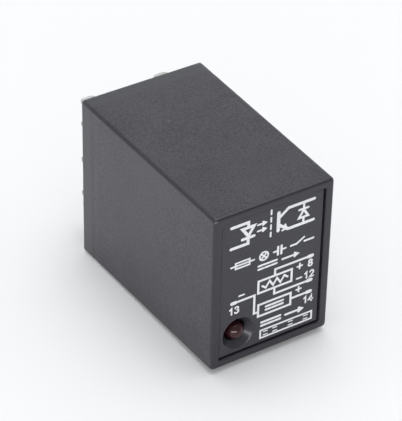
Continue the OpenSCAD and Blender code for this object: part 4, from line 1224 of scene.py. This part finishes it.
def makeAxialParts():
    # resistors and diodes, each turned about its own axis and ringed in its colours
    middle, half, radius, place = axialPlace("input_resistor_body")
    bands = striped("blue", (0.14, "red"), (0.28, "violet"), (0.42, "black"), (0.56, "brown"),
                    (0.80, "brown"))
    coat = bandedMaterial("inputResistorCoat", {"rough": 0.32, "grain": 0.0004, "depth": 0.000012},
                          middle[1] - half, middle[1] + half, bands, Coat_Weight=0.3)
    makePiece("inputResistor", [lathe(resistorProfile(half, radius), place(*middle))], coat, "chassis",
              ["input_resistor_body"])
    low, high = nodeBox("small_resistor_bodies")
    radius, half = (high[0] - low[0]) / 2, (high[1] - low[1]) / 2
    x, y, _ = (low + high) / 2
    bands = striped("tan", (0.14, "orange"), (0.30, "green"), (0.46, "brown"), (0.76, "gold"))
    coat = bandedMaterial("smallResistorCoat", {"rough": 0.38, "grain": 0.0003, "depth": 0.00001},
                          low[1], high[1], bands, Coat_Weight=0.2)
    levels = np.linspace(low[2] + radius, high[2] - radius, 3)
    bodies = [lathe(resistorProfile(half, radius), alongY(x, y, z)) for z in levels]
    makePiece("smallResistors", bodies, coat, "chassis", ["small_resistor_bodies"])
    black = bandColours["black"]
    look = {"rough": 0.34, "depth": 0.000006, "dark": black, "light": black}
    for name, nodeName, colour, mark, slot, axis in diodes:
        middle, half, radius, place = axialPlace(nodeName)
        at = middle[2] if axis == "Z" else middle[1]
        bands = [(0.0, bandColours[colour]), (0.74, bandColours[mark]), (0.88, bandColours[colour])]
        coat = bandedMaterial(name + "Coat", look, at - half, at + half, bands, axis, Coat_Weight=0.2)
        body = lathe(barrelProfile(half, radius, 0.22), place(*middle))
        makePiece(name, [body], coat, "chassis", [nodeName])


def makeLimiters():
    # a round body cut flat on one side, standing off the board
    low, high = nodeBox("limiter_transistor_bodies")
    radius, flat = (high[1] - low[1]) / 2, 1.4
    corner = np.arccos(flat / radius)
    outline = radius * onCircle(np.linspace(-pi / 2 + corner, 3 * pi / 2 - corner, 36))
    bodies = []
    for z in (low[2] + flat, high[2] - radius):
        place = alongX(low[0], (low[1] + high[1]) / 2, z)
        bodies.append(sheetPart([outline], 0, high[0] - low[0], 0.14, place))
    makePiece("limiterTransistors", bodies, blackEpoxy, "chassis",
              ["limiter_transistor_bodies"])


def makeDisc(name, nodeName, leads, material, foot):
    # a dipped disc: a flat face that rounds over its rim, where the height goes by sine ^ 0.8,
    # and a drip of coat down each lead
    low, high = nodeBox(nodeName)
    radius, half, middle = (high[0] - low[0]) / 2, (high[2] - low[2]) / 2, (low + high) / 2
    rim = [(radius - 0.75 * half * (1 - cos(a)), half * sin(a) ** 0.8) for a in np.linspace(0, pi / 2, 12)]
    profile = [(0, -half)] + [(r, -d) for r, d in rim[::-1]] + rim[1:] + [(0, half)]
    parts = [lathe(profile, alongZ(*middle), 48)]
    leadLow, leadHigh = nodeBox(leads)
    for y in (leadLow[1] + wireD / 2, leadHigh[1] - wireD / 2):
        parts.append(lathe(drip, alongX(boardX + foot, y, middle[2]), 20))
    makePiece(name, parts, material, "chassis", [nodeName])


def dimpledBody(rings, dimple, place):
    # a moulded body whose top face runs in to one hollow (centre, radius, depth), part of an
    # ellipsoid: at each share of its depth it is root(1 - share ^ 2) wide
    ring, height = rings[-1]
    centre, radius, deep = dimple
    centre = np.array(centre)
    top = [(towards(ring, centre, radius), height)]
    for share in (0.35, 0.7, 0.9):
        top.append((towards(ring, centre, radius * sqrt(1 - share ** 2)), height - deep * share))
    top.append((towards(ring, centre, radius * 0.12), height - deep))
    return loft(rings + top, place)


def makeCoupler():
    # a moulded body with a groove where its halves part, and a hollow that marks the first lead
    low, high = nodeBox("photocoupler_body")
    y, z = (low[1] + high[1]) / 2, (low[2] + high[2]) / 2
    long, wide = high[1] - low[1], high[2] - low[2]
    rings = [(roundRect(long - less * 0.7, wide - 2 * less, 0.15, 5, 4), d) for less, d in couplerSteps]
    body = dimpledBody(rings, ((-long / 2 + 1.0, -wide / 2 + 1.3), 0.5, 0.15), alongX(low[0], y, z))
    makePiece("photocoupler", [body], couplerPlastic, "chassis",
              ["photocoupler_body"], sharp=40)


makeAxialParts()
makeLimiters()
makeDisc("surgeAbsorber", "surge_absorber_body", "surge_absorber_leads", absorberCoat, 0.35)
makeDisc("capacitor", "capacitor_body", "capacitor_leads", capacitorCoat, 0.3)
makeCoupler()
print("parts on the board made")


# Heat sink and power transistor

sinkSize = {
    "thick": 1.5, "bend": 1.0, "flange": 8.0, "edge": 0.12, "round": 0.14, "rearGap": 0.7,
    "tongue": 4.0, "tongueIn": 2.0, "tongueRound": 0.12, "tongueEdge": 0.08,
}
powerSize = {
    "tab": 1.3, "tabCut": 0.9, "tabEdge": 0.09, "tabHole": 3.8, "padHole": 4.2,
    "steps": [(0.0, 2.0), (0.12, 2.05)],  # above the tab: set back in all, and height off the sink
    "topSteps": [(0.4, 0.2), (0.46, 0.06), (0.6, 0.0)],  # the same, but below the top
    "tabUnder": 1.0, "heelLong": 1.1, "leadDrop": 2.7, "leadWide": 0.8, "leadThick": 0.5, "leadBend": 0.6,
    "rootWide": 1.3, "rootLong": 0.9,
}
clampSize = {
    "screw": 2.94, "head": 5.5, "headHigh": 2.0, "headDome": 0.10, "headEdge": 0.42,
    "crossWide": 0.45, "crossSide": 0.2, "crossLong": 1.6, "crossEnd": 0.35, "crossDeep": 1.15,
    "pitch": 0.5, "thread": 0.16, "point": 0.25, "bush": 6.0, "bushThick": 0.6,
    "washer": 5.2, "washerThick": 0.8, "washerGap": 10, "washerRise": 0.08,
}
padLow, padHigh = nodeBox("insulating_pad")
bushLow, bushHigh = nodeBox("insulating_bush")
screwLow, screwHigh = nodeBox("clamp_screw")
screwY, screwZ = (bushLow[1] + bushHigh[1]) / 2, (bushLow[2] + bushHigh[2]) / 2


def makeHeatSink():
    # the sheet's edge-on section carried along the flange, round the bend and down the side;
    # two tongues at the rear
    s = sinkSize
    z0, z1 = sinkLow[2], sinkHigh[2]
    half, middle = s["thick"] / 2, (z0 + z1) / 2
    outX, frontOf, rearOf = sinkHigh[0], sinkLow[1], tailY - s["rearGap"]
    bend = s["bend"] + half
    turnX, turnY = outX - half - bend, frontOf + half + bend
    angles = np.linspace(-pi / 2, 0, 13)
    path = [(outX - s["flange"], frontOf + half, middle)]
    path += [(turnX + bend * cos(a), turnY + bend * sin(a), middle) for a in angles]
    path += [(outX - half, rearOf, middle)]
    normals = [(0, -1, 0)] + [(cos(a), sin(a), 0) for a in angles] + [(1, 0, 0)]
    section = roundRect(s["thick"], z1 - z0, s["round"], 4)
    parts = [carried(section, path, normals, (0, 0, 1), s["edge"])]
    tongue = roundRect(s["thick"], s["tongue"], s["tongueRound"], 3)
    rows = sorted((blades[n][2] for n in (1, 5, 9, 13)), reverse=True)
    for z in ((rows[1] + rows[2]) / 2, (rows[2] + rows[3]) / 2):
        path = [(outX - half, rearOf - 0.5, z), (outX - half, baseIn + s["tongueIn"], z)]
        parts.append(carried(tongue, path, (1, 0, 0), (0, 0, 1), s["tongueEdge"]))
    makePiece("heatSink", parts, aluminium, "chassis", ["heat_sink"])


def makePad():
    # a thin cloth with a hole for the bush
    y, z = (padLow[1] + padHigh[1]) / 2, (padLow[2] + padHigh[2]) / 2
    outline = roundRect(padHigh[1] - padLow[1], padHigh[2] - padLow[2], 0.3, 4)
    hole = circle(powerSize["padHole"] / 2, 32, (screwY - y, screwZ - z))
    pad = sheetPart([outline, hole], 0, padHigh[0] - padLow[0], 0.04, alongX(padLow[0], y, z))
    makePiece("insulatingPad", [pad], thermalCloth, "chassis", ["insulating_pad"])


def makeTransistor():
    # moulded body with drafted sides and an ejector mark, over a heel of the same height as the tab
    s = powerSize
    y, z = (bodyLow[1] + bodyHigh[1]) / 2, (bodyLow[2] + bodyHigh[2]) / 2
    thick, long, wide = bodyHigh - bodyLow
    steps = [(0.0, s["tab"])] + s["steps"] + [(less, thick - below) for less, below in s["topSteps"]]
    rings = [(roundRect(long - less, wide - less, 0.25, 5, 5), height) for less, height in steps]
    body = dimpledBody(rings, ((-long / 2 + 2.0, wide / 2 - 2.0), 0.75, 0.12), alongX(bodyHigh[0], y, z, -1))
    heelPlace = alongX(bodyHigh[0], bodyHigh[1] - s["heelLong"] / 2, z, -1)
    heel = sheetPart([roundRect(s["heelLong"], wide, 0.2, 4)], 0, s["tab"] + 0.1, 0.03, heelPlace)
    makePiece("powerTransistor", [body, heel], blackEpoxy, "chassis",
              ["power_transistor_body"], sharp=40)
    # a tab with cut corners, and three leads that are wide at the root and bend to the board
    half, cut = wide / 2, s["tabCut"]
    y0, y1 = nodeBox("power_transistor_frame")[0][1], bodyHigh[1] - s["tabUnder"]
    outline = [(y0 + cut, -half), (y1, -half), (y1, half), (y0 + cut, half),
               (y0, half - cut), (y0, cut - half)]
    hole = circle(s["tabHole"] / 2, 36, (screwY, 0))
    parts = [sheetPart([outline, hole], 0, s["tab"], s["tabEdge"], alongX(bodyHigh[0], 0, z, -1))]
    leadX, rootY = bodyHigh[0] - s["leadDrop"], bodyHigh[1] - 0.3
    turnX, turnY, bend = leadX - s["leadBend"], transistorPinY - s["leadBend"], s["leadBend"]
    angles = np.linspace(0, pi / 2, 9)
    normals = [(1, 0, 0)] + [(cos(a), sin(a), 0) for a in angles] + [(0, 1, 0)]
    section = roundRect(s["leadThick"], s["leadWide"], 0.06, 3)
    root = roundRect(s["leadThick"] - 0.02, s["rootWide"], 0.06, 3)
    for k in (-1, 0, 1):
        pinZ = z + leadPitch * k
        path = [(leadX, rootY, pinZ)]
        path += [(turnX + bend * cos(a), turnY + bend * sin(a), pinZ) for a in angles]
        path += [(leadEnd, transistorPinY, pinZ)]
        parts.append(carried(section, path, normals, (0, 0, 1), 0.05))
        rootPath = [(leadX, rootY, pinZ), (leadX, bodyHigh[1] + s["rootLong"], pinZ)]
        parts.append(carried(root, rootPath, (1, 0, 0), (0, 0, 1), 0.1))
    makePiece("transistorFrame", parts, leadFrame, "chassis", ["power_transistor_frame"])


def makeBush():
    # a flange and a collar that reaches through the tab, round the screw
    s = clampSize
    inner, flange, thick = s["screw"] / 2 + 0.05, s["bush"] / 2, s["bushThick"]
    collar, reach = powerSize["tabHole"] / 2 - 0.05, bushHigh[0] - bushLow[0]
    profile = [
        (inner, 0.05), (inner + 0.1, 0), (flange - 0.12, 0), (flange, 0.12), (flange, thick - 0.05),
        (flange - 0.05, thick), (collar, thick), (collar, reach - 0.1), (collar - 0.1, reach), (inner, reach),
    ]
    makePiece("insulatingBush", [lathe(profile, alongX(bushLow[0], screwY, screwZ))], bushPlastic,
              "chassis", ["insulating_bush"])


def makeWasher():
    # a ring cut through, whose two ends stand apart in height
    s = clampSize
    ringIn, ringOut = s["screw"] / 2 + 0.15, s["washer"] / 2
    middle, gap = (ringIn + ringOut) / 2, radians(s["washerGap"])
    angle = np.linspace(gap, 2 * pi - gap, 49)
    rise = s["washerThick"] / 2 + s["washerRise"] * (angle / pi - 1)
    path = np.stack([bushLow[0] - rise, screwY + middle * np.cos(angle), screwZ + middle * np.sin(angle)], -1)
    across = np.stack([0 * angle, np.cos(angle), np.sin(angle)], -1)
    section = roundRect(ringOut - ringIn, s["washerThick"] - 0.18, 0.08, 3)
    makePiece("springWasher", [carried(section, path, across, (1, 0, 0), 0.03)], springSteel, "chassis",
              ["spring_washer"])


def makeScrew():
    # the head's height over a polar grid: a dome less a cross with sloping sides
    s, around = clampSize, 96
    headR, high, edgeWide = s["head"] / 2, s["headHigh"], s["headEdge"]
    rim = headR - 0.4 * (1 - np.sin(np.linspace(0.35, pi / 2, 7)))
    radius = np.concatenate([np.linspace(0.06, 2.15, 34), rim])
    turn = np.arange(around) / around * 2 * pi
    a, b = radius[:, None] * np.cos(turn), radius[:, None] * np.sin(turn)
    edge = np.clip((radius - (headR - edgeWide)) / edgeWide, 0, 1)
    dome = high - s["headDome"] * (radius / headR) ** 2 - edgeWide * (1 - np.sqrt(1 - edge ** 2 * 0.98))

    def arm(p, q):  # 1 inside one bar of the cross
        inWidth = np.clip((s["crossWide"] - np.abs(p)) / s["crossSide"], 0, 1)
        return inWidth * np.clip((s["crossLong"] - np.abs(q)) / s["crossEnd"], 0, 1)

    height = dome[:, None] - s["crossDeep"] * np.maximum(arm(a, b), arm(b, a))
    rings = [np.stack([a, b, height], -1).reshape(-1, 3)]
    for less, level in ((0, 0.9), (0, 0.1), (0.1, 0.0)):
        rings.append(np.column_stack([circle(headR - less, around), np.full(around, level)]))
    verts, rows = np.concatenate(rings), len(radius) + 3
    paintedLightBands = [list(range(around))[::-1], list(range((rows - 1) * around, rows * around))]
    headX = screwLow[0] + high
    head = (alongX(headX, screwY, screwZ, -1)(verts), gridFaces(rows, around) + paintedLightBands)
    # the shaft is turned from a saw-edged profile
    length, r, pitch = screwHigh[0] - headX, s["screw"] / 2, s["pitch"]
    shaft = [(0, -0.1), (r, -0.1)]
    for k in range(int((length - pitch) / pitch)):
        shaft += [(r - 0.02, pitch * k + 0.12), (r - s["thread"], pitch * k + 0.37)]
    shaft += [(r - 0.1, length - s["point"]), (r - 0.1 - s["point"], length), (0, length)]
    makePiece("clampScrew", [head, lathe(shaft, alongX(headX, screwY, screwZ), 32)], zincSteel, "chassis",
              ["clamp_screw"])


def makeSleeve():
    # a soft tube over the link wire, its ends a little flared
    low, high = nodeBox("link_sleeve")
    length, r, inner = high[0] - low[0], (high[1] - low[1]) / 2, linkD / 2 + 0.03
    t = np.linspace(0, 1, 33)
    outside = list(zip(r - 0.03 + 0.03 * np.cos(2 * pi * t) ** 8, length * t))
    outside[0], outside[-1] = (r - 0.12, 0), (r - 0.12, length)
    outside.insert(1, (r - 0.02, 0.1))
    outside.insert(-1, (r - 0.02, length - 0.1))
    tube = [(inner, length), (inner, 0)] + outside
    place = alongX(low[0], (low[1] + high[1]) / 2, (low[2] + high[2]) / 2)
    makePiece("linkSleeve", [lathe(tube, place, 28)], sleevePlastic, "chassis",
              ["link_sleeve"])


makeHeatSink()
makePad()
makeTransistor()
makeBush()
makeWasher()
makeScrew()
makeSleeve()
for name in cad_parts:  # the leads keep their own shape and take a tinned surface
    if name.endswith("_leads") or name == "link_wire":
        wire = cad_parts[name]
        wire.data.materials.clear()
        wire.data.materials.append(tinnedWire)
print("heat sink, transistor and wires made")


# Stage, lights and camera

stageSize = {"floor": 3.0, "frontGap": 0.8, "floorColour": (0.883, 0.882, 0.884), "ownGlow": 0.08}
lightSet = {
    "dimSky": 0.51, "cameraSky": 0.97,
    "skyLobes": [  # direction, sharpness and strength
        ((0.10, 0.13, 0.98), 12.0, 3.65),  # the overhead light
        ((0.53, 0.79, 0.30), 30.0, 1.5),  # a pale wall behind
        ((0.40, 0.59, 0.70), 60.0, -1.4),  # and a dark gap above it
    ],
    "lamps": [("lowSoftbox", (-0.39, -0.70, 0.04), (0.90, 0.11), 3.9)],
}
cameraSet = {
    "azimuth": -33.7136, "elevation": 35.5681, "roll": 1.3335, "distance": 0.343687, "lens": 195.254,
    "shiftX": -0.009766, "shiftY": 0.008665,
}


def makeFloor():
    # the lower rear edge stands on the floor, and the leaning side leaves a thin gap towards the front
    mesh = bpy.data.meshes.new("floor")
    half = stageSize["floor"] / 2
    corners = [(-half, -half, 0), (half, -half, 0), (half, half, 0), (-half, half, 0)]
    mesh.from_pydata(corners, [], [(0, 1, 2, 3)])
    floor = bpy.data.objects.new("floor", mesh)
    bpy.context.scene.collection.objects.link(floor)
    lean = atan2(stageSize["frontGap"] - caseSize["taper"], caseL)
    floor.matrix_world = Matrix.Translation((0, rearY * mm, 0)) @ Matrix.Rotation(lean, 4, "X")
    material, tree, shader, _ = newMaterial("floorPaper", Roughness=0.9, Specular_IOR_Level=0.1)
    shader.inputs["Base Color"].default_value = (*stageSize["floorColour"], 1)
    shader.inputs["Emission Color"].default_value = (0.99, 0.995, 1.0, 1)
    path = node(tree, "ShaderNodeLightPath")
    seen = maths(tree, "MAXIMUM", path.outputs["Is Camera Ray"], path.outputs["Is Glossy Ray"])
    tree.links.new(maths(tree, "MULTIPLY", seen, stageSize["ownGlow"]), shader.inputs["Emission Strength"])
    mesh.materials.append(material)


def makeWorld():
    # an even dim sky and a few soft lobes: strength x (cosine to the lobe's direction) ^ sharpness
    world = bpy.data.worlds.new("studio")
    world.use_nodes = True
    tree = world.node_tree
    sky = tree.nodes["Background"]
    sky.inputs["Color"].default_value = (0.97, 0.985, 1.0, 1)
    looking, total = node(tree, "ShaderNodeTexCoord").outputs["Generated"], lightSet["dimSky"]
    for way, sharpness, strength in lightSet["skyLobes"]:
        facing = node(tree, "ShaderNodeVectorMath", {"operation": "DOT_PRODUCT"})
        facing.inputs[1].default_value = Vector(way).normalized()
        tree.links.new(looking, facing.inputs[0])
        lobe = maths(tree, "POWER", maths(tree, "MAXIMUM", facing.outputs["Value"], 0.0), sharpness)
        total = maths(tree, "ADD", maths(tree, "MULTIPLY", lobe, strength), total)
    tree.links.new(maths(tree, "MAXIMUM", total, 0.0), sky.inputs["Strength"])
    white = node(tree, "ShaderNodeBackground", Strength=lightSet["cameraSky"])
    white.inputs["Color"].default_value = (0.98, 0.99, 1.0, 1)
    mix = node(tree, "ShaderNodeMixShader")
    tree.links.new(node(tree, "ShaderNodeLightPath").outputs["Is Camera Ray"], mix.inputs["Fac"])
    tree.links.new(sky.outputs[0], mix.inputs[1])
    tree.links.new(white.outputs[0], mix.inputs[2])
    tree.links.new(mix.outputs[0], tree.nodes["World Output"].inputs["Surface"])
    bpy.context.scene.world = world


def makeLamps():
    # each lamp faces the middle of the case
    aim = Vector((0, (frontY + rearY) / 2 * mm, midZ * mm))
    for name, place, (width, height), watts in lightSet["lamps"]:
        lamp = bpy.data.lights.new(name, "AREA")
        lamp.shape, lamp.size, lamp.size_y, lamp.energy = "RECTANGLE", width, height, watts
        holder = bpy.data.objects.new(name, lamp)
        bpy.context.scene.collection.objects.link(holder)
        holder.location = place
        holder.rotation_euler = (aim - Vector(place)).to_track_quat("-Z", "Y").to_euler()


def makeCamera():
    # out from the middle of the case along two angles, and rolled about its own line of sight
    c = cameraSet
    az, el, roll = radians(c["azimuth"]), radians(c["elevation"]), radians(c["roll"])
    back = Vector((sin(az) * cos(el), -cos(az) * cos(el), sin(el)))
    level = Vector((0, 0, 1)).cross(back).normalized()
    upward = back.cross(level)
    right = level * cos(roll) + upward * sin(roll)
    up = upward * cos(roll) - level * sin(roll)
    target = Vector((0, (frontY + rearY) / 2 * mm, midZ * mm))
    data = bpy.data.cameras.new("camera")
    data.sensor_width, data.lens = 36.0, c["lens"]
    data.shift_x, data.shift_y = c["shiftX"], c["shiftY"]
    data.clip_start, data.clip_end = 0.01, 10.0
    camera = bpy.data.objects.new("camera", data)
    bpy.context.scene.collection.objects.link(camera)
    turned = Matrix((right, up, back)).transposed().to_4x4()
    camera.matrix_world = Matrix.Translation(target + back * c["distance"]) @ turned
    bpy.context.scene.camera = camera


makeFloor()
makeWorld()
makeLamps()
makeCamera()
bpy.context.scene.view_settings.view_transform = "Standard"
print("stage, lights and camera made")
